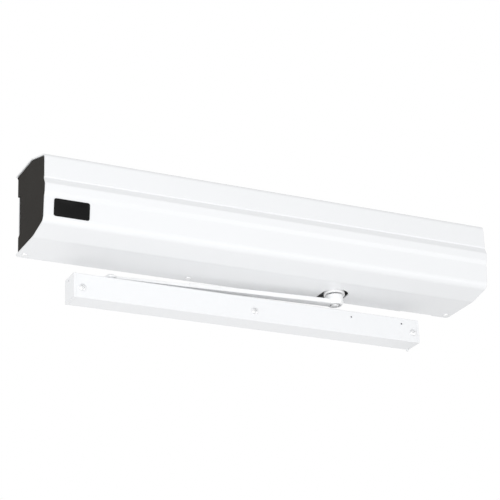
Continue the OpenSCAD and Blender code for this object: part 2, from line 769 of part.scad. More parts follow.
module closing_spring() {
    mean_r = bore_r - spring_wire_r - 1.2;
    rise = spring_len - 2 * spring_wire_r;
    per_turn = 16;
    pts = [for (i = [0:per_turn * spring_turns]) let (w = i * 360 / per_turn)
        [i * rise / per_turn / spring_turns, mean_r * cos(w), mean_r * sin(w)]];
    ups = [for (i = [0:per_turn * spring_turns]) let (w = i * 360 / per_turn) [0, cos(w), sin(w)]];
    color([0.3, 0.31, 0.33]) at(piston_right + 0.3 + spring_wire_r, spindle_depth, bore_h)
        tube(pts, spring_wire_r, 8, ups);
}

module spindle() {
    color(steel) difference() {
        union() {
            at(spindle_x, spindle_depth, hub_top_h + 0.3)
                cylinder(h = boss_top - hub_top_h - 0.3, r = journal_r);
            at(spindle_x, spindle_depth, bore_h - bore_r + 5)
                gear(rack_m, rack_teeth, 2 * bore_r - 10, -90);
            at(spindle_x, spindle_depth, slow_h - 1) cylinder(h = slow_w + 2, r = journal_r - 1);
            at(spindle_x, spindle_depth, boss_top - tiny)
                cylinder(h = slow_h - boss_top + tiny, r = journal_r);
            at(spindle_x, spindle_depth, slow_h) cylinder(h = top_plate_h - slow_h - 8, r = shaft_r);
            at(spindle_x, spindle_depth, arm_low_h + screw_sink + 1)
                rotate([0, 0, arm_rest]) translate([-square_w / 2, -square_w / 2, 0])
                    cube([square_w, square_w, hub_top_h - arm_low_h - screw_sink]);
        }
        at(spindle_x, spindle_depth, arm_low_h) cylinder(h = screw_sink + 14, r = 2.5);
    }
}

module at_bearings() {
    for (h = [lower_bearing_h, upper_bearing_h]) at(spindle_x, spindle_depth, h) children();
}

race_r = (journal_r + seat_r) / 2;
ball_r = 1.6;
race_t = (seat_r - journal_r) / 2 - 0.9;

module bearing_outer_rings() {
    color(steel) at_bearings() rotate_extrude() difference() {
        translate([seat_r - race_t, 0]) square([race_t, bearing_w]);
        translate([race_r, bearing_w / 2]) circle(r = ball_r + tiny);
    }
}

module bearing_inner_rings() {
    color(steel) at_bearings() rotate_extrude() difference() {
        translate([journal_r, 0]) square([race_t, bearing_w]);
        translate([race_r, bearing_w / 2]) circle(r = ball_r + tiny);
    }
}

module bearing_balls() {
    color(steel) at_bearings() for (k = [0:9]) rotate([0, 0, 36 * k])
        translate([race_r, 0, bearing_w / 2]) sphere(r = ball_r);
}

module spindle_seal() {
    color(black) at(spindle_x, spindle_depth, -boss_drop + 0.5) rotate_extrude() polygon([
        [journal_r + 0.1, 0.6], [journal_r + 1.6, 0], [seat_r - 0.2, 0],
        [seat_r + 0.6, -0.5 - seal_rim_t], [seal_rim_r, -0.5 - seal_rim_t], [seal_rim_r, seal_skirt],
        [boss_r + tiny, seal_skirt], [boss_r + tiny, -0.5],
        [seal_r - tiny, -0.5], [seal_r - tiny, seal_h - 0.5], [journal_r + 1.6, seal_h - 0.5]
    ]);
}

module regulating_valves() {
    color(brass) for (p = valve_spots()) at(body_left - 1.5, p.x, p.y) difference() {
        rod_x(12, 3 - tiny);
        translate([-cut, 0, 0]) rotate([0, 90, 0]) hex_socket(3, 3 + cut);
    }
}

module closer_bolts() {
    color(steel) for (p = lug_screws()) at(p.x, 0.6, p.y) {
        rod_into_room(plate_t + lug_t, 2.5);
        translate([0, -plate_t - lug_t + 0.6, 0]) difference() {
            rod_into_room(4.5, 4.2);
            translate([0, -2, 0]) rotate([90, 0, 0]) hex_socket(4, 3);
        }
    }
}

gear_plate_right = spindle_x + 38;
gear_plate_front = max(body_depth + 4, -motor_at.y + motor_r + 3, -post_ats[1].y + post_r + 2);

module gear_plate() {
    color(steel) difference() {
        at(0, 0, gear_plate_h) linear_extrude(gear_plate_t) polygon(rounded(
            [[gear_plate_left, -plate_t - 3], [gear_plate_left, -gear_plate_front],
                [first_at.x + 26, -gear_plate_front], [gear_plate_right, -body_depth + 3],
                [gear_plate_right, -plate_t - 3]], [4, 8, 8, 6, 4], 4));
        at(spindle_x, spindle_depth, gear_plate_h - cut)
            cylinder(h = gear_plate_t + 2 * cut, r = boss_r + 0.2);
        at_xy(motor_at, gear_plate_h - cut) cylinder(h = gear_plate_t + 2 * cut, r = 6);
        for (p = [first_at, second_at]) at_xy(p, gear_plate_h - cut)
            cylinder(h = gear_plate_t + 2 * cut, r = shaft_r + tiny);
        for (p = post_ats) at_xy(p, gear_plate_h - cut)
            cylinder(h = gear_plate_t + 2 * cut, r = 1.5 + tiny);
        for (p = gear_screw_spots()) at(p.x, p.y, gear_plate_h - cut)
            cylinder(h = gear_plate_t + 2 * cut, r = gear_screw_r + 0.2);
        for (p = motor_screw_spots()) at_xy(p, gear_plate_h - cut)
            cylinder(h = gear_plate_t + 2 * cut, r = 1.7);
    }
}

function motor_screw_spots() = [
    for (w = [45:90:315]) motor_at + (motor_r - 5) * [cos(w), sin(w)]
];

module top_plate() {
    rim = 7;
    color(steel) difference() {
        at(0, 0, top_plate_h) linear_extrude(gear_plate_t) polygon(rounded(
            inset([post_ats[0], post_ats[3], post_ats[2], post_ats[1]], -rim), [rim, rim, rim, rim], 4));
        for (p = [first_at, second_at]) at_xy(p, top_plate_h - cut)
            cylinder(h = gear_plate_t + 2 * cut, r = shaft_r + tiny);
        for (p = post_ats) at_xy(p, top_plate_h - cut)
            cylinder(h = gear_plate_t + 2 * cut, r = 1.5 + tiny);
        at_xy([spindle_x, -spindle_depth], top_plate_h - cut)
            cylinder(h = gear_plate_t + 2 * cut, r = 3.6);
    }
}

module gear_posts() {
    color(brass) for (p = post_ats) at_xy(p, gear_plate_h + gear_plate_t) difference() {
        cylinder(h = top_plate_h - gear_plate_h - gear_plate_t, r = post_r, $fn = 6);
        translate([0, 0, -cut]) cylinder(h = 100, r = 1.5);
    }
}

module gear_screws() {
    color(steel) {
        for (p = post_ats) at_xy(p, top_plate_h + gear_plate_t) {
            pan_head(3, 2);
            translate([0, 0, -10]) cylinder(h = 10, r = 1.5);
        }
        for (p = gear_screw_spots()) at(p.x, p.y, gear_plate_h + gear_plate_t) {
            pan_head(3.6, 2.4);
            translate([0, 0, -10]) cylinder(h = 10, r = gear_screw_r);
        }
        for (p = motor_screw_spots()) at_xy(p, gear_plate_h + gear_plate_t) {
            pan_head(2.8, 1.8);
            translate([0, 0, -8]) cylinder(h = 8, r = 1.5);
        }
    }
}

module lightening(count, at_r, hole_r, w) {
    for (k = [0:count - 1]) rotate([0, 0, 360 * k / count + 30])
        translate([at_r, 0, -cut]) cylinder(h = w + 2 * cut, r = hole_r);
}

module spindle_gear() {
    color(brass) at(spindle_x, spindle_depth, slow_h) difference() {
        gear(slow_m, spindle_teeth, slow_w, 0);
        translate([0, 0, -cut]) cylinder(h = slow_w + 2 * cut, r = journal_r - 1);
        lightening(5, slow_m * spindle_teeth / 2 - 8.5, 3.6, slow_w);
    }
}

first_phase = meshed_phase(first_angle, 0, spindle_teeth, pinion_teeth);
second_phase = meshed_phase(second_angle, 0, idler_teeth, pinion_teeth);
motor_phase = meshed_phase(motor_angle, 0, second_teeth, pinion_teeth);

module first_idler() {
    color(brass) at_xy(first_at, slow_h) difference() {
        union() {
            gear(slow_m, pinion_teeth, middle_h - slow_h + tiny, first_phase);
            translate([0, 0, middle_h - slow_h]) gear(slow_m, idler_teeth, middle_w, 0);
            translate([0, 0, gear_plate_h + gear_plate_t + 0.3 - slow_h])
                cylinder(h = slow_h - gear_plate_h - gear_plate_t, r = shaft_r + 1.5);
        }
        translate([0, 0, -20]) cylinder(h = 80, r = shaft_r + run);
        translate([0, 0, middle_h - slow_h]) lightening(5, 15, 3.2, middle_w);
    }
}

module second_idler() {
    color(brass) at_xy(second_at, middle_h) difference() {
        union() {
            gear(slow_m, pinion_teeth, fast_h - middle_h + tiny, second_phase);
            translate([0, 0, fast_h - middle_h]) gear(fast_m, second_teeth, fast_w, 0);
            translate([0, 0, gear_plate_h + gear_plate_t + 0.3 - middle_h])
                cylinder(h = middle_h - gear_plate_h - gear_plate_t, r = shaft_r + 1.5);
        }
        translate([0, 0, -40]) cylinder(h = 80, r = shaft_r + run);
        translate([0, 0, fast_h - middle_h]) lightening(6, 17, 3.2, fast_w);
    }
}

module idler_shafts() {
    color(steel) for (p = [first_at, second_at]) at_xy(p, gear_plate_h)
        cylinder(h = top_plate_h + gear_plate_t - gear_plate_h, r = shaft_r);
}

module motor_pinion() {
    color(steel) at_xy(motor_at, fast_h) {
        gear(fast_m, pinion_teeth, fast_w, motor_phase);
        translate([0, 0, gear_plate_h - 10 - fast_h])
            cylinder(h = fast_h - gear_plate_h + 10 + tiny, r = shaft_r);
    }
}

module gearhead() {
    color(steel) at_xy(motor_at, gear_plate_h - gearhead_len) difference() {
        cylinder(h = gearhead_len, r = motor_r);
        translate([0, 0, gearhead_len - 10.5]) cylinder(h = 12, r = shaft_r + run);
        for (w = [45:90:315]) rotate([0, 0, w]) translate([motor_r - 5, 0, gearhead_len - 7])
            cylinder(h = 8, r = 1.5);
        translate([0, 0, 5]) rotate_extrude() translate([motor_r - 0.6, 0]) square([2, 1.2]);
    }
}

module motor_can() {
    can_r = motor_r - 0.8;
    color([0.28, 0.28, 0.3]) at_xy(motor_at, gear_plate_h - gearhead_len - motor_len) {
        rotate_extrude()
            polygon(rounded([[0, 0], [can_r, 0], [can_r, motor_len], [0, motor_len]], [0, 2.5, 0, 0], 4));
        for (s = [-1, 1]) translate([-motor_r - 2.5, s * 6 - 2, motor_len - 9]) cube([5, 4, 5]);
    }
}

module position_sensor() {
    color([0.15, 0.25, 0.45]) at(spindle_x, spindle_depth, top_plate_h - 12) difference() {
        union() {
            cylinder(h = 12, r = 9);
            translate([0, 0, 12 - tiny]) cylinder(h = gear_plate_t, r = 3.5);
            translate([-4, 8, 2]) cube([8, 5, 6]);
        }
        translate([0, 0, -cut]) cylinder(h = 6 + cut, r = shaft_r + run);
    }
}

module control_board() {
    color(board_green) difference() {
        at(board_x - board_w / 2, board_front, board_low) cube([board_w, board_t, board_high - board_low]);
        for (p = board_spots()) at(p.x, board_back - cut, p.y) rod_into_room(board_t + 2 * cut, 1.7);
    }
}

function board_spots() = [
    for (x = [board_x - board_w / 2 + 6, board_x, board_x + board_w / 2 - 6],
        h = [board_low + 6, board_high - 6]) [x, h]
];

module board_standoffs() {
    color(brass) for (p = board_spots()) at(p.x, plate_t, p.y) {
        rotate([90, 0, 0]) cylinder(h = board_back - plate_t, r = 3.2, $fn = 6);
        rod_into_room(board_front - plate_t, 1.6);
        translate([0, plate_t - board_front, 0]) rotate([90, 0, 0]) pan_head(3, 2);
    }
}

module board_relays() {
    color([0.2, 0.35, 0.6]) for (k = [0:2]) at(board_x - 84 + 26 * k, board_front, 62)
        rotate([90, 0, 0]) linear_extrude(16) polygon(rounded_box(20, 28, 1.5));
    color(black) for (k = [0:3]) at(board_x + 2 + 16 * k, board_front, 48 + 8 * (k % 2))
        rotate([90, 0, 0]) linear_extrude(3) polygon(rounded_box(10, 10, 0.6));
}

module board_capacitors() {
    color([0.2, 0.22, 0.28]) for (k = [0:1]) at(board_x + 22 + 24 * k, board_front, 84) {
        rod_into_room(30, 9);
        translate([0, -30 + tiny, 0]) rod_into_room(1, 8);
    }
}

module terminal_blocks() {
    way = 7.5;
    color([0.15, 0.5, 0.25]) for (k = [0:1], n = [0:6])
        at(board_x - 88 + 96 * k + way * n, board_front, board_low + 4) rotate([90, 0, 90])
            difference() {
                linear_extrude(way) polygon([[0, 0], [0, 15], [-7, 15], [-12, 9], [-12, 0]]);
                translate([-8, 4.5, way / 2]) cube([12, 5, way - 2], center = true);
            }
}

module heat_sink() {
    fins = 7;
    color([0.3, 0.3, 0.32]) {
        at(board_x + 66, board_front + 4, 54) cube([34, 4, 38]);
        for (k = [0:fins - 1]) at(board_x + 66 + k * (34 - 1.6) / (fins - 1), board_front + 22, 54)
            cube([1.6, 18.1, 38]);
    }
}

module transformer_core() {
    color([0.45, 0.44, 0.42]) at(transformer_x, core_back + core_t, core_low) difference() {
        translate([-core_w / 2, 0, 0]) cube([core_w, core_t, core_h]);
        for (s = [-1, 1]) translate([s * core_w / 4 - core_w / 12, -cut, core_h / 6])
            cube([core_w / 6, core_t + 2 * cut, core_h * 2 / 3]);
    }
}

module transformer_winding() {
    color([0.75, 0.42, 0.2]) at(transformer_x, core_back + core_t / 2, core_low + core_h / 6 + 0.4)
        difference() {
            linear_extrude(core_h * 2 / 3 - 0.8)
                polygon(rounded_box(core_w * 2 / 3 - 1, core_t + core_w / 3 - 5, 6));
            translate([-core_w / 6 - 0.2, -core_t / 2 - 0.2, -cut])
                cube([core_w / 3 + 0.4, core_t + 0.4, core_h]);
        }
}

module transformer_bracket() {
    strap = 2;
    color(steel) difference() {
        union() {
            for (h = [core_low - strap, core_low + core_h])
                at(transformer_x - core_w / 2, core_back + core_t, h)
                    cube([core_w, core_back + core_t - plate_t, strap]);
            at(transformer_x - core_w / 2, plate_t + strap, core_low + core_h) cube([core_w, strap, 10]);
            at(transformer_x - core_w / 2, plate_t + strap, core_low - 10) cube([core_w, strap, 10]);
        }
        for (s = [-1, 1], h = [core_low - 6, core_low + core_h + 6])
            at(transformer_x + s * core_w / 3, plate_t - cut, h) rod_into_room(strap + 2 * cut, 2.2);
    }
}

module mains_block() {
    color([0.9, 0.9, 0.85]) difference() {
        at(mains_x - mains_len / 2, plate_t + 16, 40) cube([mains_len, 16, 18]);
        for (k = [0:3]) at(mains_x - 16.5 + 11 * k, plate_t + 4, 49) rod_into_room(16, 3.4);
        for (k = [0:3]) at(mains_x - 19.5 + 11 * k, plate_t + 12, 36) cube([6, 6, 26]);
    }
    color(black) at(mains_x - 20, plate_t, 66) {
        rod_into_room(10, 4);
        translate([30, 0, 0]) rod_into_room(10, 4);
        translate([0, -14, 0]) rod_x(30, 5.5);
    }
}

module entry_bushes() {
    color(black) for (x = entry_xs) at(x, 0, entry_h) rotate([90, 0, 0]) rotate_extrude() polygon([
        [entry_r, 0.2], [entry_r + 1.4, 0.2], [entry_r + 1.4, plate_t],
        [entry_r + 4, plate_t], [entry_r + 4, plate_t + 1.8], [entry_r, plate_t + 1.8]
    ]);
}

module loom(pts, r) {
    way = bent(pts, 8, 4);
    translate([0, 0, -mount_h]) tube(way, r, 8, [for (p = way) [0.02, 0.31, 0.95]]);
}

module mains_loom() {
    core_mid = core_back + core_t / 2;
    color([0.2, 0.2, 0.2]) loom([
        [mains_x + 18.5, -plate_t - 8, 58.3],
        [mains_x + 18.5, -plate_t - 8, 112],
        [transformer_x + 8, -plate_t - 8, 112],
        [transformer_x + 8, -core_mid, 112],
        [transformer_x + 8, -core_mid, core_low + core_h + 2.3]
    ], 3);
}

module switch_leads() {
    lead_start = cap_out - switch_body_len - 7.3;
    color([0.5, 0.3, 0.15]) loom([
        [lead_start, -switch_depth, switch_h],
        [lead_start - 12, -switch_depth, switch_h],
        [lead_start - 12, -plate_t - 16.3, 49]
    ], 1.8);
}

module board_leads() {
    motor_end = motor_at.x - motor_r;
    motor_lead_h = gear_plate_h - gearhead_len - 6.5;
    core_mid = core_back + core_t / 2;
    color([0.15, 0.25, 0.55]) {
        loom([
            [transformer_x - 8, -core_mid, core_low + core_h + 2.3],
            [transformer_x - 8, -core_mid, 110],
            [board_x + board_w / 2 - 4, -core_mid, 110],
            [board_x + board_w / 2 - 4, -board_front - 2.3, 70],
            [board_x + board_w / 2 - 4, -board_front - 2.3, 44]
        ], 2);
        loom([
            [motor_end - 2.8, motor_at.y, motor_lead_h],
            [motor_end - 16, motor_at.y, motor_lead_h],
            [motor_end - 16, -board_front - 2.3, 30],
            [board_x + board_w / 2 - 20, -board_front - 2.3, 30]
        ], 2);
    }
}

module switch_body() {
    color(black) difference() {
        union() {
            at(cap_out - switch_body_len, switch_depth, switch_h) rotate([90, 0, 90])
                linear_extrude(switch_body_len + tiny) square([switch_w, switch_len], center = true);
            at(cap_out, switch_depth, switch_h) rotate([90, 0, 90])
                linear_extrude(1) polygon(rounded_box(switch_w + 4, switch_len + 4, 1.5));
            for (s = [-1, 0, 1]) at(cap_out - switch_body_len - 7, switch_depth, switch_h + 9 * s)
                translate([0, -2.4, -0.4]) cube([8, 4.8, 0.8]);
        }
        at(cap_out - 10, switch_depth, switch_h) rotate([90, 0, 90])
            linear_extrude(12) square([switch_w - 3.4, 2 * rocker_half + 2.4], center = true);
        at(rocker_axis_x, switch_depth - switch_w / 2 + 0.4, switch_h)
            rod_into_room(switch_w - 0.8, 1.5 + run);
    }
}

// Rests in its middle position
module switch_rocker() {
    half_w = switch_w / 2 - 2;
    color([0.22, 0.22, 0.22]) at(rocker_axis_x, switch_depth, switch_h) {
        translate([0, half_w, 0]) rotate([90, 0, 0]) linear_extrude(2 * half_w) polygon([
            [-3.6, -5], [0, -rocker_half], [5.6, -rocker_half + 0.4], [5.2, -rocker_half / 2],
            [4.6, 0], [5.2, rocker_half / 2], [5.6, rocker_half - 0.4], [0, rocker_half], [-3.6, 5]
        ]);
        translate([0, switch_w / 2 - 0.5, 0]) rod_into_room(switch_w - 1, 1.5);
    }
}

// Drawn along -X from the spindle, then turned to its rest angle
function arm_low_at(x) = arm_low_h + arm_droop * x / arm_len;
module arm_blade(x0, x1, half0, half1, t0, t1) {
    widest = max(half0, half1) + cut;
    intersection() {
        translate([0, 0, eye_low_h - cut]) linear_extrude(arm_t + arm_droop + 2 * cut)
            polygon([[x0, -half0], [x0, half0], [x1, half1], [x1, -half1]]);
        translate([0, widest, 0]) rotate([90, 0, 0]) linear_extrude(2 * widest)
            polygon([[x0, arm_low_at(x0)], [x0, arm_low_at(x0) + t0],
                [x1, arm_low_at(x1) + t1], [x1, arm_low_at(x1)]]);
    }
}

module arm() {
    step_x = -arm_len + arm_step_in;
    hub_h = hub_top_h - arm_low_h;
    color(alloy) translate([spindle_x, -spindle_depth, -mount_h]) rotate([0, 0, arm_rest]) difference() {
        union() {
            translate([0, 0, arm_low_h]) rotate_extrude() polygon(rounded([
                [0, 0], [hub_foot_r, 0], [hub_r, arm_t * 0.6],
                [hub_r, arm_t], [hub_top_r, hub_h], [0, hub_h]
            ], [0, 1, 2, 1, 1, 0], 4));
            arm_blade(step_x, 0, arm_step_half, arm_root_half, arm_step_t, arm_t);
            arm_blade(-arm_len, step_x + tiny, arm_end_half, arm_end_half, arm_end_t, arm_thin_t);
            translate([-arm_len, 0, eye_low_h]) cylinder(h = arm_end_t, r = eye_r);
        }
        translate([-square_w / 2 - tiny, -square_w / 2 - tiny, arm_low_h + screw_sink + 1])
            cube([square_w + 2 * tiny, square_w + 2 * tiny, hub_h]);
        translate([0, 0, arm_low_h - cut]) cylinder(h = screw_sink + cut, r = screw_head_r + screw_room);
        translate([0, 0, arm_low_h - cut]) cylinder(h = screw_sink + 4, r = 2.7);
        translate([-arm_len, 0, eye_low_h - cut]) cylinder(h = arm_end_t + 2 * cut, r = eye_bore_r);
    }
}

module spindle_screw() {
    head = screw_sink - screw_flush;
    half = screw_flats / 2;
    color(steel) at(spindle_x, spindle_depth, arm_low_h + screw_sink) {
        mirror([0, 0, 1]) intersection() {
            rotate([0, 0, 15]) cylinder(h = head, r = screw_head_r, $fn = 6);
            cylinder(h = head, r1 = screw_head_r + head - 1.2, r2 = half - 0.2);
        }
        cylinder(h = 13, r = 2.5);
    }
}

module eye_bush() {
    color(steel) at_xy(pin_at, eye_low_h) difference() {
        union() {
            cylinder(h = arm_end_t, r = eye_bore_r);
            mirror([0, 0, 1]) cylinder(h = 1, r = eye_bore_r + 1.6);
        }
        translate([0, 0, -2]) cylinder(h = arm_end_t + 4, r = pin_r + run);
    }
}

module slider_block() {
    color([0.92, 0.92, 0.9]) at_xy(pin_at, slider_low) difference() {
        linear_extrude(slider_h) polygon(rounded_box(slider_len, slider_w, 4));
        translate([0, 0, -cut]) cylinder(h = slider_h + 2 * cut, r = pin_r);
        translate([0, 0, -cut]) cylinder(h = 3 + cut, r = pin_r + 3);
        for (s = [-1, 1]) translate([s * slider_len / 3, 0, -cut])
            cylinder(h = slider_h + 2 * cut, r = 2.5);
    }
}

module slider_pin() {
    shoulder_r = track_slot_w / 2 - 1;
    shoulder_top = eye_low_h - 1 - 0.3;
    color(steel) at_xy(pin_at, slider_low + 0.4) {
        cylinder(h = 2.6, r = pin_r + 3 - tiny);
        cylinder(h = eye_top_h + 2.2 - slider_low - 0.4, r = pin_r);
        translate([0, 0, slider_h - 0.4]) cylinder(h = shoulder_top - slider_top, r = shoulder_r);
    }
}

module pin_clip() {
    color(steel) at_xy(pin_at, eye_top_h + 0.3) difference() {
        cylinder(h = 1.2, r = pin_r + 2.4);
        translate([0, 0, -cut]) cylinder(h = 4, r = pin_r);
    }
}

module track_section() {
    corner = 1.2;
    lip = (track_depth - track_slot_w) / 2;
    difference() {
        polygon(rounded([
            [0, track_low], [track_depth, track_low], [track_depth, track_top], [0, track_top]
        ], [corner, corner, corner, corner], 3));
        translate([track_wall, chamber_low]) square([track_in, chamber_h]);
        translate([lip, chamber_top - cut]) square([track_slot_w, track_top_t + 2 * cut]);
        translate([track_wall, lower_low]) square([track_in, lower_top - lower_low]);
    }
}

module track_channel() {
    color(white) difference() {
        translate([track_x, 0, 0]) along_x(track_len - 2 * end_t) track_section();
        for (x = track_screw_xs) at(x, -cut, track_screw_h)
            rod_into_room(track_depth + 2 * cut, track_screw_r + 0.2);
        for (x = stop_screw_xs) at(x, track_mid_depth, stop_screw_h) rod_into_room(track_depth, 1.4);
    }
}

// An end plate with a plug in the track's lower chamber
module track_end(side) {
    outer = side < 0 ? track_left : track_right;
    color(white) difference() {
        union() {
            translate([outer - side * end_t / 2, 0, 0]) along_x(end_t) polygon(rounded(
                [[0, track_low], [track_depth, track_low], [track_depth, track_top], [0, track_top]],
                [1.2, 1.2, 1.2, 1.2], 3));
            translate([outer - side * (end_t + 1.7), 0, 0]) along_x(3.4 + tiny)
                polygon([
                    [track_wall + tiny, lower_low + tiny],
                    [track_depth - track_wall - tiny, lower_low + tiny],
                    [track_depth - track_wall - tiny, lower_top - tiny],
                    [track_wall + tiny, lower_top - tiny]
                ]);
        }
        translate([outer - side * (end_t + 2.5), 0, 0]) along_x(4)
            polygon([[track_wall + 3, lower_low + 3], [track_depth - track_wall - 3, lower_low + 3],
                [track_depth - track_wall - 3, lower_top - 3], [track_wall + 3, lower_top - 3]]);
        at(outer - end_t / 2 - end_t, 14.2, track_top - 5) rod_x(3 * end_t, 1.6);
    }
}

module track_end_left() {
    track_end(-1);
}

module track_end_right() {
    track_end(1);
    color(white) at(track_right - end_t, 3.2, track_low - 2.4) cube([3, 3, 3]);
}

module track_screws() {
    color(steel) for (x = track_screw_xs) at(x, 0, track_screw_h) {
        rod_into_room(track_depth + tiny, track_neck_r);
        translate([0, -track_depth, 0]) rotate([90, 0, 0]) difference() {
            pan_head(5.15, 2.8);
            translate([0, 0, 1.6]) cube([6, 1.3, 3.4], center = true);
            translate([0, 0, 1.6]) cube([1.3, 6, 3.4], center = true);
        }
        mirror([0, 1, 0]) rod_into_room(track_screw_out, track_screw_r);
    }
}

module stop_block() {
    color(steel) difference() {
        at(stop_x - stop_len / 2, track_depth - track_wall - slider_gap, slider_low)
            cube([stop_len, slider_w, slider_h]);
        at(stop_x, track_mid_depth, slider_low - cut) cylinder(h = slider_h + 2 * cut, r = 4);
        for (x = stop_screw_xs) at(x, track_mid_depth, stop_screw_h) rod_into_room(track_depth, 1.4);
    }
}

module stop_buffer() {
    color(black) at(stop_x - stop_len / 2 - buffer_len, track_mid_depth, slider_low) rotate([90, 0, 90])
        linear_extrude(buffer_len) polygon(rounded([[-slider_w / 2 + 3, 0], [slider_w / 2 - 3, 0],
            [slider_w / 2 - 3, slider_h], [-slider_w / 2 + 3, slider_h]], [2, 2, 2, 2], 3));
}

module stop_screws() {
    color(black) for (x = stop_screw_xs) at(x, track_depth - 13, stop_screw_h) difference() {
        rod_into_room(12, 1.35);
        translate([0, -10, 0]) rotate([90, 0, 0]) hex_socket(1.4, 3);
    }
}

cover();
end_cap_left();
end_cap_right();
badge_plate();
back_plate();
cover_screws();
closer_body();
spring_plug();
valve_plug();
piston();
piston_seals();
closing_spring();
spindle();
bearing_outer_rings();
bearing_inner_rings();
bearing_balls();
spindle_seal();
regulating_valves();
closer_bolts();
gear_plate();
top_plate();
gear_posts();
gear_screws();
spindle_gear();
first_idler();
second_idler();
idler_shafts();
motor_pinion();
gearhead();
motor_can();
position_sensor();
control_board();
board_standoffs();
board_relays();
board_capacitors();
terminal_blocks();
heat_sink();
transformer_core();
transformer_winding();
transformer_bracket();
mains_block();
entry_bushes();
mains_loom();
switch_leads();
board_leads();
switch_body();
switch_rocker();
arm();
spindle_screw();
eye_bush();
slider_block();
slider_pin();
pin_clip();
track_channel();
track_end_left();
track_end_right();
track_screws();
stop_block();
stop_buffer();
stop_screws();
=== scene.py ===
import math

import bmesh
import bpy
from mathutils import Matrix, Vector


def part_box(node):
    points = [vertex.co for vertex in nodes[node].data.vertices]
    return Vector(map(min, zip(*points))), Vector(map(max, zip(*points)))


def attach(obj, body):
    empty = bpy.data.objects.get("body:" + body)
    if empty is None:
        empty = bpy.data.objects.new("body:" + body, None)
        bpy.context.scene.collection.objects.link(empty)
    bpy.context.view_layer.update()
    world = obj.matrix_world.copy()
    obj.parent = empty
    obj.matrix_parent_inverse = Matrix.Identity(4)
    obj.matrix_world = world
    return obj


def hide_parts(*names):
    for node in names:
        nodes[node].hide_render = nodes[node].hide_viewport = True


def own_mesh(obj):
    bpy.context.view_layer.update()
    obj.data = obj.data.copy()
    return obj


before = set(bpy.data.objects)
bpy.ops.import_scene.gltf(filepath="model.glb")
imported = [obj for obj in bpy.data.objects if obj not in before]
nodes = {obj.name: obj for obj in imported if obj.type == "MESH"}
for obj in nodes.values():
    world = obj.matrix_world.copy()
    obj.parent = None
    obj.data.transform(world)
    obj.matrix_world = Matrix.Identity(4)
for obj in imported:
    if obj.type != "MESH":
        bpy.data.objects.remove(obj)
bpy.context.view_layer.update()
print("frame loaded:", len(nodes), "nodes")


# Small helpers

weldDistance = 1e-7  # points of a mesh that lie closer than this are one point


def newObject(name, data):
    piece = bpy.data.objects.new(name, data)
    bpy.context.scene.collection.objects.link(piece)
    return piece


def smoothUpTo(mesh, angle):
    mesh.shade_smooth()
    mesh.set_sharp_from_angle(angle=math.radians(angle))


def finishMesh(bm, name, smoothAngle):
    bmesh.ops.remove_doubles(bm, verts=bm.verts, dist=weldDistance)
    bmesh.ops.recalc_face_normals(bm, faces=bm.faces)
    mesh = bpy.data.meshes.new(name)
    bm.to_mesh(mesh)
    bm.free()
    smoothUpTo(mesh, smoothAngle)
    return mesh


def bakeModifiers(piece):
    depsgraph = bpy.context.evaluated_depsgraph_get()
    mesh = bpy.data.meshes.new_from_object(piece.evaluated_get(depsgraph), depsgraph=depsgraph)
    piece.modifiers.clear()
    piece.data = mesh


def addInput(tree, name, kind, default=None):
    socket = tree.interface.new_socket(name=name, in_out="INPUT", socket_type=kind)
    if default is not None:
        socket.default_value = default
    return socket.identifier


def makeNodes(tree, *kinds):
    return [tree.nodes.new(kind) for kind in kinds]


# A round wire wound along Z, with its ends closed
# The names of the tree's inputs come in this order: turns, centre radius, length, wire radius
def sweepSpiral(tree, given, inputNames, steps, wireSides):
    turns, radius, length, wire = (given.outputs[name] for name in inputNames)
    spiral, profile, sweep = makeNodes(
        tree, "GeometryNodeCurveSpiral", "GeometryNodeCurvePrimitiveCircle", "GeometryNodeCurveToMesh")
    spiral.inputs["Resolution"].default_value = steps
    profile.inputs["Resolution"].default_value = wireSides
    sweep.inputs["Fill Caps"].default_value = True
    tree.links.new(turns, spiral.inputs["Rotations"])
    tree.links.new(radius, spiral.inputs["Start Radius"])
    tree.links.new(radius, spiral.inputs["End Radius"])
    tree.links.new(length, spiral.inputs["Height"])
    tree.links.new(wire, profile.inputs["Radius"])
    tree.links.new(spiral.outputs["Curve"], sweep.inputs["Curve"])
    tree.links.new(profile.outputs["Curve"], sweep.inputs["Profile Curve"])
    return sweep.outputs["Mesh"]


# Turns what a tree has made into plain geometry of one material
def finishTree(tree, geometry, material, outputName):
    tree.interface.new_socket(name=outputName, in_out="OUTPUT", socket_type="NodeSocketGeometry")
    solid, paint, result = makeNodes(
        tree, "GeometryNodeRealizeInstances", "GeometryNodeSetMaterial", "NodeGroupOutput")
    paint.inputs["Material"].default_value = material
    tree.links.new(geometry, solid.inputs["Geometry"])
    tree.links.new(solid.outputs["Geometry"], paint.inputs["Geometry"])
    tree.links.new(paint.outputs["Geometry"], result.inputs[outputName])


# Runs a tree on a piece and keeps what comes out as its mesh
def bakeTree(piece, tree, ids, values):
    modifier = piece.modifiers.new(tree.name, "NODES")
    modifier.node_group = tree
    for name, value in values.items():
        modifier[ids[name]] = value
    bakeModifiers(piece)


# Finishes

bevelSamples = 4
noiseSpan = (0.3, 0.7)  # most of a noise's values lie between these
# What a look has where it says nothing else
surfaceKinds = {
    "paint": {"grainDetail": 2.0, "cloudScale": 9.0, "cloudDetail": 3.0, "glossFollows": "cloud",
              "bumpDepth": 0.0001, "stretch": None, "specular": 0.5, "metal": 0.0},
    "metal": {"grainDetail": 4.0, "cloudScale": 22.0, "cloudDetail": 4.0, "glossFollows": "grain",
              "bumpDepth": 0.00006, "stretch": None, "specular": 0.5, "metal": 1.0},
    "plastic": {"grainDetail": 5.0, "cloudScale": 14.0, "cloudDetail": 2.0, "glossFollows": "grain",
                "bumpDepth": 0.0001, "stretch": None, "specular": 0.5, "metal": 0.0},
}


def startMaterial(name):
    material = bpy.data.materials.new(name)
    material.use_nodes = True
    tree = material.node_tree
    return material, tree, tree.nodes["Principled BSDF"]


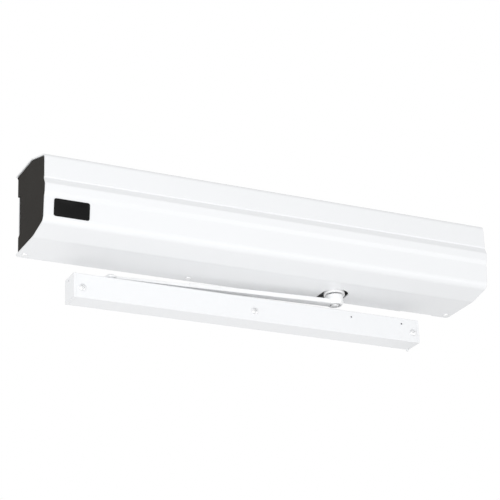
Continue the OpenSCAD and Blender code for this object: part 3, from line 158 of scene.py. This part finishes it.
def noiseOn(tree, coords, scale, detail, stretch=None):
    noise = tree.nodes.new("ShaderNodeTexNoise")
    noise.inputs["Scale"].default_value = scale
    noise.inputs["Detail"].default_value = detail
    source = coords.outputs["Object"]
    if stretch:
        mapping = tree.nodes.new("ShaderNodeMapping")
        mapping.inputs["Scale"].default_value = stretch
        tree.links.new(source, mapping.inputs["Vector"])
        source = mapping.outputs["Vector"]
    tree.links.new(source, noise.inputs["Vector"])
    return noise


def spread(tree, noise, low, high):
    ramp = tree.nodes.new("ShaderNodeMapRange")
    ramp.inputs["From Min"].default_value, ramp.inputs["From Max"].default_value = noiseSpan
    ramp.inputs["To Min"].default_value = low
    ramp.inputs["To Max"].default_value = high
    ramp.clamp = False
    tree.links.new(noise.outputs["Fac"], ramp.inputs["Value"])
    return ramp.outputs["Result"]


def tintBetween(tree, noise, first, second):
    mix = tree.nodes.new("ShaderNodeMix")
    mix.data_type = "RGBA"
    mix.inputs["A"].default_value = (*first, 1)
    mix.inputs["B"].default_value = (*second, 1)
    tree.links.new(spread(tree, noise, 0, 1), mix.inputs["Factor"])
    return mix.outputs["Result"]


# Rounds the edges and lets the grain stand out a little
def roundedNormal(tree, shader, noise, look):
    bevel, bump = makeNodes(tree, "ShaderNodeBevel", "ShaderNodeBump")
    bevel.samples = bevelSamples
    bevel.inputs["Radius"].default_value = look["edge"]
    bump.inputs["Strength"].default_value = look["grain"]
    bump.inputs["Distance"].default_value = look["bumpDepth"]
    tree.links.new(noise.outputs["Fac"], bump.inputs["Height"])
    tree.links.new(bevel.outputs["Normal"], bump.inputs["Normal"])
    tree.links.new(bump.outputs["Normal"], shader.inputs["Normal"])


def makeFinish(name, kind, ownLook):
    look = {**surfaceKinds[kind], **ownLook}
    material, tree, shader = startMaterial(name)
    coords = tree.nodes.new("ShaderNodeTexCoord")
    noises = {"grain": noiseOn(tree, coords, look["grainScale"], look["grainDetail"], look["stretch"]),
              "cloud": noiseOn(tree, coords, look["cloudScale"], look["cloudDetail"])}
    tint = tintBetween(tree, noises["cloud"], look["colour"], look["colourTwo"])
    gloss = spread(tree, noises[look["glossFollows"]], *look["gloss"])
    tree.links.new(tint, shader.inputs["Base Color"])
    tree.links.new(gloss, shader.inputs["Roughness"])
    shader.inputs["Specular IOR Level"].default_value = look["specular"]
    shader.inputs["Metallic"].default_value = look["metal"]
    roundedNormal(tree, shader, noises["grain"], look)
    return material


whitePaint = {"colour": (0.856, 0.866, 0.880), "colourTwo": (0.860, 0.870, 0.884),
              "gloss": (0.22, 0.25), "grainScale": 700.0, "grain": 0.04, "edge": 0.0006}
blackPaint = {**whitePaint, "colour": (0.02, 0.02, 0.022), "colourTwo": (0.03, 0.03, 0.032)}
silverPaint = {"colour": (0.93, 0.935, 0.94), "colourTwo": (0.95, 0.955, 0.96), "gloss": (0.30, 0.36),
               "grainScale": 1400.0, "grain": 0.10, "stretch": (1, 1, 1), "edge": 0.0008, "metal": 0.2}
capPlastic = {"colour": (0.0175, 0.0155, 0.0130), "colourTwo": (0.0225, 0.0200, 0.0170),
              "gloss": (0.46, 0.56), "grainScale": 1500.0, "grain": 0.25, "edge": 0.0006,
              "specular": 0.03}
badgeGloss = {"colour": (0.007, 0.007, 0.007), "colourTwo": (0.009, 0.009, 0.009),
              "gloss": (0.20, 0.26), "grainScale": 900.0, "grain": 0.03, "edge": 0.0003,
              "specular": 0.08}
steelPlain = {"colour": (0.55, 0.56, 0.58), "colourTwo": (0.62, 0.63, 0.64), "gloss": (0.26, 0.40),
              "grainScale": 260.0, "grain": 0.15, "stretch": (0.2, 1, 1), "edge": 0.0003}
steelBright = {**steelPlain, "colour": (0.86, 0.865, 0.87), "colourTwo": (0.90, 0.905, 0.91),
               "gloss": (0.24, 0.34)}
steelSatin = {**steelPlain, "colour": (0.92, 0.922, 0.925), "colourTwo": (0.94, 0.942, 0.945),
              "gloss": (0.30, 0.38), "metal": 0.3}
steelTurned = {**steelPlain, "stretch": (1, 1, 6), "gloss": (0.18, 0.30)}
steelDark = {"colour": (0.16, 0.165, 0.18), "colourTwo": (0.22, 0.225, 0.24), "gloss": (0.30, 0.45),
             "grainScale": 300.0, "grain": 0.15, "stretch": (1, 1, 1), "edge": 0.0002}
sinkDark = {**steelDark, "colour": (0.03, 0.03, 0.032), "colourTwo": (0.05, 0.05, 0.052),
            "stretch": (1, 1, 0.1)}
blackCasting = {"colour": (0.016, 0.016, 0.017), "colourTwo": (0.024, 0.024, 0.025),
                "gloss": (0.40, 0.55), "grainScale": 420.0, "grain": 0.5, "edge": 0.0010,
                "specular": 0.3}
bronze = {"colour": (0.62, 0.43, 0.18), "colourTwo": (0.72, 0.53, 0.25), "gloss": (0.24, 0.38),
          "grainScale": 300.0, "grain": 0.15, "stretch": (1, 1, 0.2), "edge": 0.0002}
copperWire = {"colour": (0.50, 0.19, 0.07), "colourTwo": (0.62, 0.27, 0.11), "gloss": (0.20, 0.34),
              "grainScale": 160.0, "grain": 0.8, "stretch": (0.05, 0.05, 12), "edge": 0.0004}
coreSheets = {"colour": (0.20, 0.19, 0.18), "colourTwo": (0.30, 0.29, 0.28), "gloss": (0.45, 0.60),
              "grainScale": 90.0, "grain": 0.9, "stretch": (0.05, 22, 0.05), "edge": 0.0003}
smallPlastic = {"gloss": (0.38, 0.48), "grainScale": 900.0, "grain": 0.12, "edge": 0.0003}
plasticLift = 1.12  # how much lighter the second tone of a small plastic piece is


def plastic(colour, **changes):
    second = tuple(min(1, part * plasticLift) for part in colour)
    return {**smallPlastic, "colour": colour, "colourTwo": second, **changes}


# Each finish with its kind, its look and the nodes that wear it
finishTable = {
    "powderWhite": ("paint", whitePaint,
                    ["cover", "track_channel", "track_end_left", "track_end_right"]),
    "armSilver": ("metal", silverPaint, ["arm"]),
    "brightSteel": ("metal", steelBright, ["spindle_screw", "cover_screws", "track_screws", "eye_bush"]),
    "satinSteel": ("metal", steelSatin, ["spindle_seal"]),
    "motorBlack": ("paint", blackPaint, ["motor_can"]),
    "capBlack": ("plastic", capPlastic, ["end_cap_left", "end_cap_right"]),
    "badgeBlack": ("plastic", badgeGloss, ["badge_plate"]),
    "zincPlate": ("metal", steelPlain,
                  ["back_plate", "closer_bolts", "gear_plate", "top_plate", "gear_screws",
                   "transformer_bracket", "pin_clip", "stop_block"]),
    "turnedSteel": ("metal", steelTurned,
                    ["spring_plug", "valve_plug", "piston", "spindle", "bearing_outer_rings",
                     "bearing_inner_rings", "bearing_balls", "idler_shafts", "motor_pinion",
                     "gearhead", "slider_pin"]),
    "oiledSteel": ("metal", steelDark, ["closing_spring", "stop_screws"]),
    "blackCasting": ("plastic", blackCasting, ["closer_body"]),
    "gearBronze": ("metal", bronze,
                   ["spindle_gear", "first_idler", "second_idler", "gear_posts",
                    "regulating_valves", "board_standoffs"]),
    "windingCopper": ("metal", copperWire, ["transformer_winding"]),
    "stackedSheets": ("metal", coreSheets, ["transformer_core"]),
    "softRubber": ("plastic", plastic((0.018, 0.018, 0.018), gloss=(0.6, 0.75)),
                   ["piston_seals", "entry_bushes", "stop_buffer"]),
    "sensorBlue": ("plastic", plastic((0.04, 0.08, 0.22)), ["position_sensor"]),
    "boardGreen": ("plastic", plastic((0.012, 0.13, 0.06), gloss=(0.25, 0.4)), ["control_board"]),
    "relayBlue": ("plastic", plastic((0.05, 0.12, 0.33)), ["board_relays"]),
    "canSleeve": ("plastic", plastic((0.05, 0.06, 0.10), gloss=(0.2, 0.3)), ["board_capacitors"]),
    "terminalGreen": ("plastic", plastic((0.03, 0.24, 0.07)), ["terminal_blocks"]),
    "sinkBlack": ("metal", sinkDark, ["heat_sink"]),
    "blockCream": ("plastic", plastic((0.70, 0.68, 0.60)), ["mains_block"]),
    "leadBlack": ("plastic", plastic((0.02, 0.02, 0.02), gloss=(0.3, 0.4)), ["mains_loom"]),
    "leadBrown": ("plastic", plastic((0.16, 0.07, 0.02), gloss=(0.3, 0.4)), ["switch_leads"]),
    "leadBlue": ("plastic", plastic((0.02, 0.05, 0.22), gloss=(0.3, 0.4)), ["board_leads"]),
    "switchBlack": ("plastic", plastic((0.015, 0.015, 0.015), gloss=(0.2, 0.28), grain=0.05),
                    ["switch_body", "switch_rocker"]),
    "sliderNylon": ("plastic", plastic((0.72, 0.72, 0.66), gloss=(0.35, 0.45)), ["slider_block"]),
}
finishes = {}
for finishName, (kind, ownLook, members) in finishTable.items():
    finishes[finishName] = makeFinish(finishName, kind, ownLook)
    for member in members:
        nodes[member].data.materials.clear()
        nodes[member].data.materials.append(finishes[finishName])
print("finishes made:", len(finishes))


# Screws

# What all screws share unless a look has its own: shares of the screw's own sizes, counts, and
# angles in degrees
screwShape = {"sides": 72, "crown": 0.55, "crownReach": 0.96, "crownStep": 9, "side": 0.3,
              "rimUp": 0.06, "rimIn": 0.97, "tipIn": 0.55, "acrossFlats": None,
              "wound": 0.94, "threadUp": 1.2, "threadSteps": 20, "threadSides": 4, "smoothAngle": 40}
trackScrewLook = {**screwShape, "head": 0.00515, "headHeight": 0.0028, "recess": 0.0019,
                  "neck": 0.0024, "neckLength": 0.035, "thread": 0.003, "threadLength": 0.014,
                  "ridge": 0.0005, "pitch": 0.0012, "point": 0.0008,
                  "facing": (math.pi / 2, 0, 0), "seed": 6, "finish": "brightSteel"}
coverScrewLook = {**screwShape, "head": 0.0039, "headHeight": 0.0022, "recess": 0.0009,
                  "neck": 0.0019, "neckLength": 0.0022, "thread": 0.002, "threadLength": 0.005,
                  "ridge": 0.0003, "pitch": 0.0008, "point": 0.0005,
                  "facing": (math.pi, 0, 0), "seed": 3, "finish": "satinSteel"}
armScrewLook = {**screwShape, "head": 0.00577, "headHeight": 0.0070, "crown": 0.18, "side": 0.78,
                "acrossFlats": 0.010, "seatUp": 0.0044, "neck": 0.0023, "neckLength": 0.003,
                "thread": 0.0024, "threadLength": 0.0096, "ridge": 0.0003, "pitch": 0.0008,
                "point": 0.0006, "facing": (math.pi, 0, 0), "seed": 5, "finish": "satinSteel"}
# The cross recess: reach and width are shares of the head's radius, and its top and tip are shares
# of those. Over is how far its cutter stands over the head
recessShape = {"reach": 0.6, "width": 0.13, "topGrow": 1.15, "tipReach": 0.62, "tipWidth": 0.85,
               "over": 0.001, "smoothAngle": 35}


# Boxes of a node's parts, which stand apart along X
def boxesAlongX(node, gap=0.02):
    corners = sorted((vertex.co.copy() for vertex in nodes[node].data.vertices), key=lambda c: c.x)
    groups = [[corners[0]]]
    for corner in corners[1:]:
        if corner.x - groups[-1][-1].x > gap:
            groups.append([])
        groups[-1].append(corner)
    return [(Vector([min(c[i] for c in group) for i in range(3)]),
             Vector([max(c[i] for c in group) for i in range(3)])) for group in groups]


# How far a round head of this radius reaches at an angle once it is cut to six flats
def reachAt(angle, radius, acrossFlats):
    fromFlat = (angle + math.pi / 6) % (math.pi / 3) - math.pi / 6
    return min(radius, acrossFlats / 2 / math.cos(fromFlat))


# Joins two rings of points, of which one may be a single point
def skinBetween(bm, upper, lower):
    sides = max(len(upper), len(lower))
    for k in range(sides):
        after = (k + 1) % sides
        if len(upper) == 1:
            bm.faces.new((upper[0], lower[k], lower[after]))
        elif len(lower) == 1:
            bm.faces.new((upper[k], lower[0], upper[after]))
        else:
            bm.faces.new((upper[k], lower[k], lower[after], upper[after]))


# Turns a profile of radius and height, from the axis to the axis, about Z
# What stands over the seat is cut to six flats, if acrossFlats gives their distance
def lathe(bm, profile, sides, acrossFlats):
    rings = []
    for radius, height in profile:
        if radius < weldDistance:
            rings.append([bm.verts.new((0, 0, height))])
            continue
        ring = []
        for angle in (2 * math.pi * k / sides for k in range(sides)):
            reach = reachAt(angle, radius, acrossFlats) if acrossFlats and height >= 0 else radius
            ring.append(bm.verts.new((reach * math.cos(angle), reach * math.sin(angle), height)))
        rings.append(ring)
    for upper, lower in zip(rings, rings[1:]):
        skinBetween(bm, upper, lower)


# A tapered cross that sinks into the screw's head
def crossCutter(look, shape):
    reach, width = look["head"] * shape["reach"], look["head"] * shape["width"]
    outline = [(reach, width), (width, width), (width, reach), (-width, reach), (-width, width),
               (-reach, width), (-reach, -width), (-width, -width), (-width, -reach),
               (width, -reach), (width, -width), (reach, -width)]
    top, bottom = look["headHeight"] + shape["over"], look["headHeight"] - look["recess"]
    grow, tipReach, tipWidth = shape["topGrow"], shape["tipReach"], shape["tipWidth"]
    bm = bmesh.new()
    upper = [bm.verts.new((x * grow, y * grow, top)) for x, y in outline]
    lower = [bm.verts.new((x * tipReach, y * tipWidth, bottom)) for x, y in outline]
    bm.faces.new(upper)
    bm.faces.new(lower[::-1])
    skinBetween(bm, upper, lower)
    return newObject("crossCutter", finishMesh(bm, "crossCutter", shape["smoothAngle"]))


# One screw with its head towards +Z and its seat at the origin
def screwBlank(name, look):
    head, rise, crown = look["head"], look["headHeight"], look["crown"]
    neck, core = look["neck"], look["thread"] - look["ridge"]
    low = -look["neckLength"] - look["threadLength"]
    dome = [(math.sin(a) * head * look["crownReach"], rise * (1 - crown + crown * math.cos(a)))
            for a in (math.radians(w) for w in range(0, 91, look["crownStep"]))]
    side = [(head, rise * look["side"]), (head, rise * look["rimUp"]), (head * look["rimIn"], 0)]
    shank = [(neck, 0), (neck, -look["neckLength"]), (core, -look["neckLength"]),
             (core, low + look["point"]), (core * look["tipIn"], low), (0, low)]
    bm = bmesh.new()
    lathe(bm, [*dome, *side, *shank], look["sides"], look["acrossFlats"])
    blank = newObject(name, finishMesh(bm, name, look["smoothAngle"]))
    if look["acrossFlats"]:
        return blank
    cutter = crossCutter(look, recessShape)
    cut = blank.modifiers.new("recess", "BOOLEAN")
    cut.operation, cut.object, cut.solver = "DIFFERENCE", cutter, "EXACT"
    bakeModifiers(blank)
    bpy.data.objects.remove(cutter)
    smoothUpTo(blank.data, look["smoothAngle"])
    return blank


# Winds a thread round the blank, sets one screw on each seat and turns each by an angle of its own
def screwTree(name, look, threadSizes, material):
    tree = bpy.data.node_groups.new(name, "GeometryNodeTree")
    addInput(tree, "Seats", "NodeSocketGeometry")
    ids = {label: addInput(tree, label, "NodeSocketFloat", size) for label, size in threadSizes.items()}
    ids["Blank"] = addInput(tree, "Blank", "NodeSocketObject")
    ids["Facing"] = addInput(tree, "Facing", "NodeSocketVector")
    ids["Seed"] = addInput(tree, "Seed", "NodeSocketInt", look["seed"])
    link = tree.links.new
    given, place, blank, join = makeNodes(
        tree, "NodeGroupInput", "GeometryNodeTransform", "GeometryNodeObjectInfo",
        "GeometryNodeJoinGeometry")
    scatter, turn, angle, about = makeNodes(
        tree, "GeometryNodeInstanceOnPoints", "GeometryNodeRotateInstances",
        "FunctionNodeRandomValue", "ShaderNodeCombineXYZ")
    thread = sweepSpiral(tree, given, threadSizes, look["threadSteps"], look["threadSides"])
    threadFrom = -look["neckLength"] - look["threadLength"] + look["ridge"] * look["threadUp"]
    place.inputs["Translation"].default_value = (0, 0, threadFrom)
    link(thread, place.inputs["Geometry"])
    link(given.outputs["Blank"], blank.inputs["Object"])
    link(place.outputs["Geometry"], join.inputs["Geometry"])
    link(blank.outputs["Geometry"], join.inputs["Geometry"])
    link(given.outputs["Seats"], scatter.inputs["Points"])
    link(join.outputs["Geometry"], scatter.inputs["Instance"])
    link(given.outputs["Facing"], scatter.inputs["Rotation"])
    link(given.outputs["Seed"], angle.inputs["Seed"])
    angle.data_type = "FLOAT"
    angle.inputs[3].default_value = 2 * math.pi  # the largest angle
    link(angle.outputs[1], about.inputs["Z"])
    link(scatter.outputs["Instances"], turn.inputs["Instances"])
    link(about.outputs["Vector"], turn.inputs["Rotation"])
    turn.inputs["Local Space"].default_value = True
    finishTree(tree, turn.outputs["Instances"], material, "Screws")
    return tree, ids


def setScrews(name, node, look, seats, body):
    mesh = bpy.data.meshes.new(name)
    mesh.from_pydata([tuple(seat) for seat in seats], [], [])
    piece = newObject(name, mesh)
    blank = screwBlank(name + "Blank", look)
    wound = look["threadLength"] * look["wound"]
    threadSizes = {"Thread turns": wound / look["pitch"],
                   "Thread centre radius": look["thread"] - look["ridge"],
                   "Thread length": wound, "Thread ridge": look["ridge"]}
    tree, ids = screwTree(name + "Tree", look, threadSizes, finishes[look["finish"]])
    bakeTree(piece, tree, ids,
             {**threadSizes, "Blank": blank, "Facing": look["facing"], "Seed": look["seed"]})
    bpy.data.objects.remove(blank)
    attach(piece, body)
    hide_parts(node)
    print(name, "set:", len(seats), "screws,", len(piece.data.polygons), "faces")


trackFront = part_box("track_channel")[0][1]
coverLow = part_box("cover")[0][2]
trackSeats = [((low.x + high.x) / 2, trackFront, (low.z + high.z) / 2)
              for low, high in boxesAlongX("track_screws")]
coverSeats = [((low.x + high.x) / 2, (low.y + high.y) / 2, coverLow)
              for low, high in boxesAlongX("cover_screws")]
armScrewLow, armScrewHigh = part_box("spindle_screw")
armScrewSeat = [((armScrewLow[0] + armScrewHigh[0]) / 2, (armScrewLow[1] + armScrewHigh[1]) / 2,
                 armScrewLow[2] + armScrewLook["seatUp"])]
setScrews("armScrew", "spindle_screw", armScrewLook, armScrewSeat, "arm")
setScrews("trackScrews", "track_screws", trackScrewLook, trackSeats, "track")
setScrews("coverScrews", "cover_screws", coverScrewLook, coverSeats, "base")


# Closing spring

springLook = {"turns": 9.0, "wire": 0.0026, "steps": 40, "wireSides": 14}


def coilTree(look, coilSizes, material):
    tree = bpy.data.node_groups.new("coilTree", "GeometryNodeTree")
    addInput(tree, "Geometry", "NodeSocketGeometry")
    ids = {label: addInput(tree, label, "NodeSocketFloat", size) for label, size in coilSizes.items()}
    given = tree.nodes.new("NodeGroupInput")
    coil = sweepSpiral(tree, given, coilSizes, look["steps"], look["wireSides"])
    finishTree(tree, coil, material, "Coil")
    return tree, ids


def windSpring(look):
    low, high = (Vector(corner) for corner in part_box("closing_spring"))
    middle = (low + high) / 2
    spring = newObject("closingSpring", bpy.data.meshes.new("closingSpring"))
    coilSizes = {"Turns": look["turns"], "Coil radius": (high.y - low.y) / 2 - look["wire"],
                 "Coil length": high.x - low.x - 2 * look["wire"], "Wire radius": look["wire"]}
    tree, ids = coilTree(look, coilSizes, finishes["oiledSteel"])
    bakeTree(spring, tree, ids, coilSizes)
    spring.data.transform(Matrix.Translation((low.x + look["wire"], middle.y, middle.z))
                          @ Matrix.Rotation(math.pi / 2, 4, "Y"))
    spring.data.shade_smooth()
    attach(spring, "base")
    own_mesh(spring)
    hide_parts("closing_spring")
    print("spring wound:", len(spring.data.polygons), "faces")


windSpring(springLook)


# Badge

# edgeDrop and edgeIn are shares of the rim's height
badgeLook = {"corner": 0.003, "leastCorner": 0.0004, "steps": 8, "smoothAngle": 50,
             "rim": 0.0011, "rimHeight": 0.00035, "edgeDrop": 0.3, "edgeIn": 0.4}


def roundedRing(width, height, corner, steps):
    ring = []
    for right, up, start in ((1, 1, 0), (-1, 1, 90), (-1, -1, 180), (1, -1, 270)):
        for k in range(steps + 1):
            angle = math.radians(start + 90 * k / steps)
            ring.append((right * (width / 2 - corner) + corner * math.cos(angle),
                         up * (height / 2 - corner) + corner * math.sin(angle)))
    return ring


# A bare plate with a thin raised rim, on the tilted lower face of the cover
def setBadge(look):
    plate = nodes["badge_plate"].data
    face = max(plate.polygons, key=lambda polygon: polygon.area * (polygon.normal.y < 0))
    outward = face.normal.copy()
    along = Vector((1, 0, 0))
    up = along.cross(-outward).normalized()
    if up.z < 0:
        up = -up
    spans = [[vertex.co.dot(axis) for vertex in plate.vertices] for axis in (along, up, outward)]
    width, height = (max(span) - min(span) for span in spans[:2])
    centre = sum(((max(span) + min(span)) / 2 * axis for span, axis in zip(spans, (along, up))), Vector())
    back, front = min(spans[2]), max(spans[2])
    rim, rimHeight = look["rim"], look["rimHeight"]
    layers = [(0, back), (0, front - rimHeight * look["edgeDrop"]), (rimHeight * look["edgeIn"], front),
              (rim, front), (rim + rimHeight, front - rimHeight)]
    bm = bmesh.new()
    rings = []
    for inwards, level in layers:
        ring = roundedRing(width - 2 * inwards, height - 2 * inwards,
                           max(look["corner"] - inwards, look["leastCorner"]), look["steps"])
        rings.append([bm.verts.new(centre + along * x + up * y + outward * level) for x, y in ring])
    bm.faces.new(rings[0][::-1])
    bm.faces.new(rings[-1])
    for lower, upper in zip(rings, rings[1:]):
        for k in range(len(lower)):
            after = (k + 1) % len(lower)
            bm.faces.new((lower[k], lower[after], upper[after], upper[k]))
    badge = newObject("badgePlate", finishMesh(bm, "badgePlate", look["smoothAngle"]))
    badge.data.materials.append(finishes["badgeBlack"])
    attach(badge, "base")
    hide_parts("badge_plate")


setBadge(badgeLook)
print("badge set")


# Camera, light and floor

# Yaw to the right of +Y, pitch and roll in degrees
cameraLook = {"place": (-1.1091, -2.2188, -1.0355), "yaw": 26.848, "pitch": 22.666, "roll": 2.363,
              "lens": 129.1, "sensor": 36.0, "clipEnd": 60.0}
# The floor lies as far below the operator as in a doorway
studioLook = {"ambient": 0.67, "backdrop": 1.0, "floorHeight": -2.1, "floorReach": 25.0,
              "floorColour": (0.90, 0.90, 0.90), "floorRoughness": 0.7}
lampLooks = {"besideCamera": {"place": (-1.0, -2.0, -0.95), "size": 1.2, "power": 20.0},
             "fromRight": {"place": (1.6, -1.8, -0.9), "size": 1.8, "power": 10.0},
             "fromLeft": {"place": (-2.4, -0.7, -0.6), "size": 1.6, "power": 8.0},
             "fromBehind": {"place": (0.0, 1.4, -0.6), "size": 2.2, "power": 5.5}}


def setCamera(look):
    yaw, pitch, roll = (math.radians(look[key]) for key in ("yaw", "pitch", "roll"))
    ahead = Vector((math.sin(yaw) * math.cos(pitch), math.cos(yaw) * math.cos(pitch), math.sin(pitch)))
    right = Vector((math.cos(yaw), -math.sin(yaw), 0))
    down = ahead.cross(right)
    rightTurned = math.cos(roll) * right + math.sin(roll) * down
    downTurned = math.cos(roll) * down - math.sin(roll) * right
    turn = Matrix((rightTurned, -downTurned, -ahead)).transposed()
    data = bpy.data.cameras.new("photoCamera")
    data.lens, data.sensor_width, data.clip_end = look["lens"], look["sensor"], look["clipEnd"]
    camera = newObject("photoCamera", data)
    camera.matrix_world = Matrix.Translation(look["place"]) @ turn.to_4x4()
    bpy.context.scene.camera = camera


# Only what bounces off a matt surface sees the ambient strength, and all else sees the backdrop
def setWorld(look):
    world = bpy.data.worlds.new("paleStudio")
    world.use_nodes = True
    tree = world.node_tree
    tree.nodes.clear()
    lightPath, ambient, backdrop, mix, output = makeNodes(
        tree, "ShaderNodeLightPath", "ShaderNodeBackground", "ShaderNodeBackground",
        "ShaderNodeMixShader", "ShaderNodeOutputWorld")
    for background, strength in ((ambient, look["ambient"]), (backdrop, look["backdrop"])):
        background.inputs["Color"].default_value = (1, 1, 1, 1)
        background.inputs["Strength"].default_value = strength
    tree.links.new(lightPath.outputs["Is Diffuse Ray"], mix.inputs["Fac"])
    tree.links.new(backdrop.outputs["Background"], mix.inputs[1])
    tree.links.new(ambient.outputs["Background"], mix.inputs[2])
    tree.links.new(mix.outputs["Shader"], output.inputs["Surface"])
    bpy.context.scene.world = world
    bpy.context.scene.view_settings.view_transform = "Standard"


# A square lamp that looks at the origin
def softLight(name, look):
    data = bpy.data.lights.new(name, "AREA")
    data.shape, data.size, data.energy = "SQUARE", look["size"], look["power"]
    lamp = newObject(name, data)
    lamp.location = look["place"]
    lamp.rotation_euler = (Vector((0, 0, 0)) - lamp.location).to_track_quat("-Z", "Y").to_euler()


def layFloor(look):
    bm = bmesh.new()
    bmesh.ops.create_grid(bm, x_segments=1, y_segments=1, size=look["floorReach"])
    floorMesh = bpy.data.meshes.new("floor")
    bm.to_mesh(floorMesh)
    bm.free()
    floorMesh.transform(Matrix.Translation((0, 0, look["floorHeight"])))
    floor = newObject("floor", floorMesh)
    material, tree, shader = startMaterial("paleFloor")
    shader.inputs["Base Color"].default_value = (*look["floorColour"], 1)
    shader.inputs["Roughness"].default_value = look["floorRoughness"]
    floorMesh.materials.append(material)


setCamera(cameraLook)
setWorld(studioLook)
for lampName, lampLook in lampLooks.items():
    softLight(lampName, lampLook)
layFloor(studioLook)
print("camera, light and floor set")
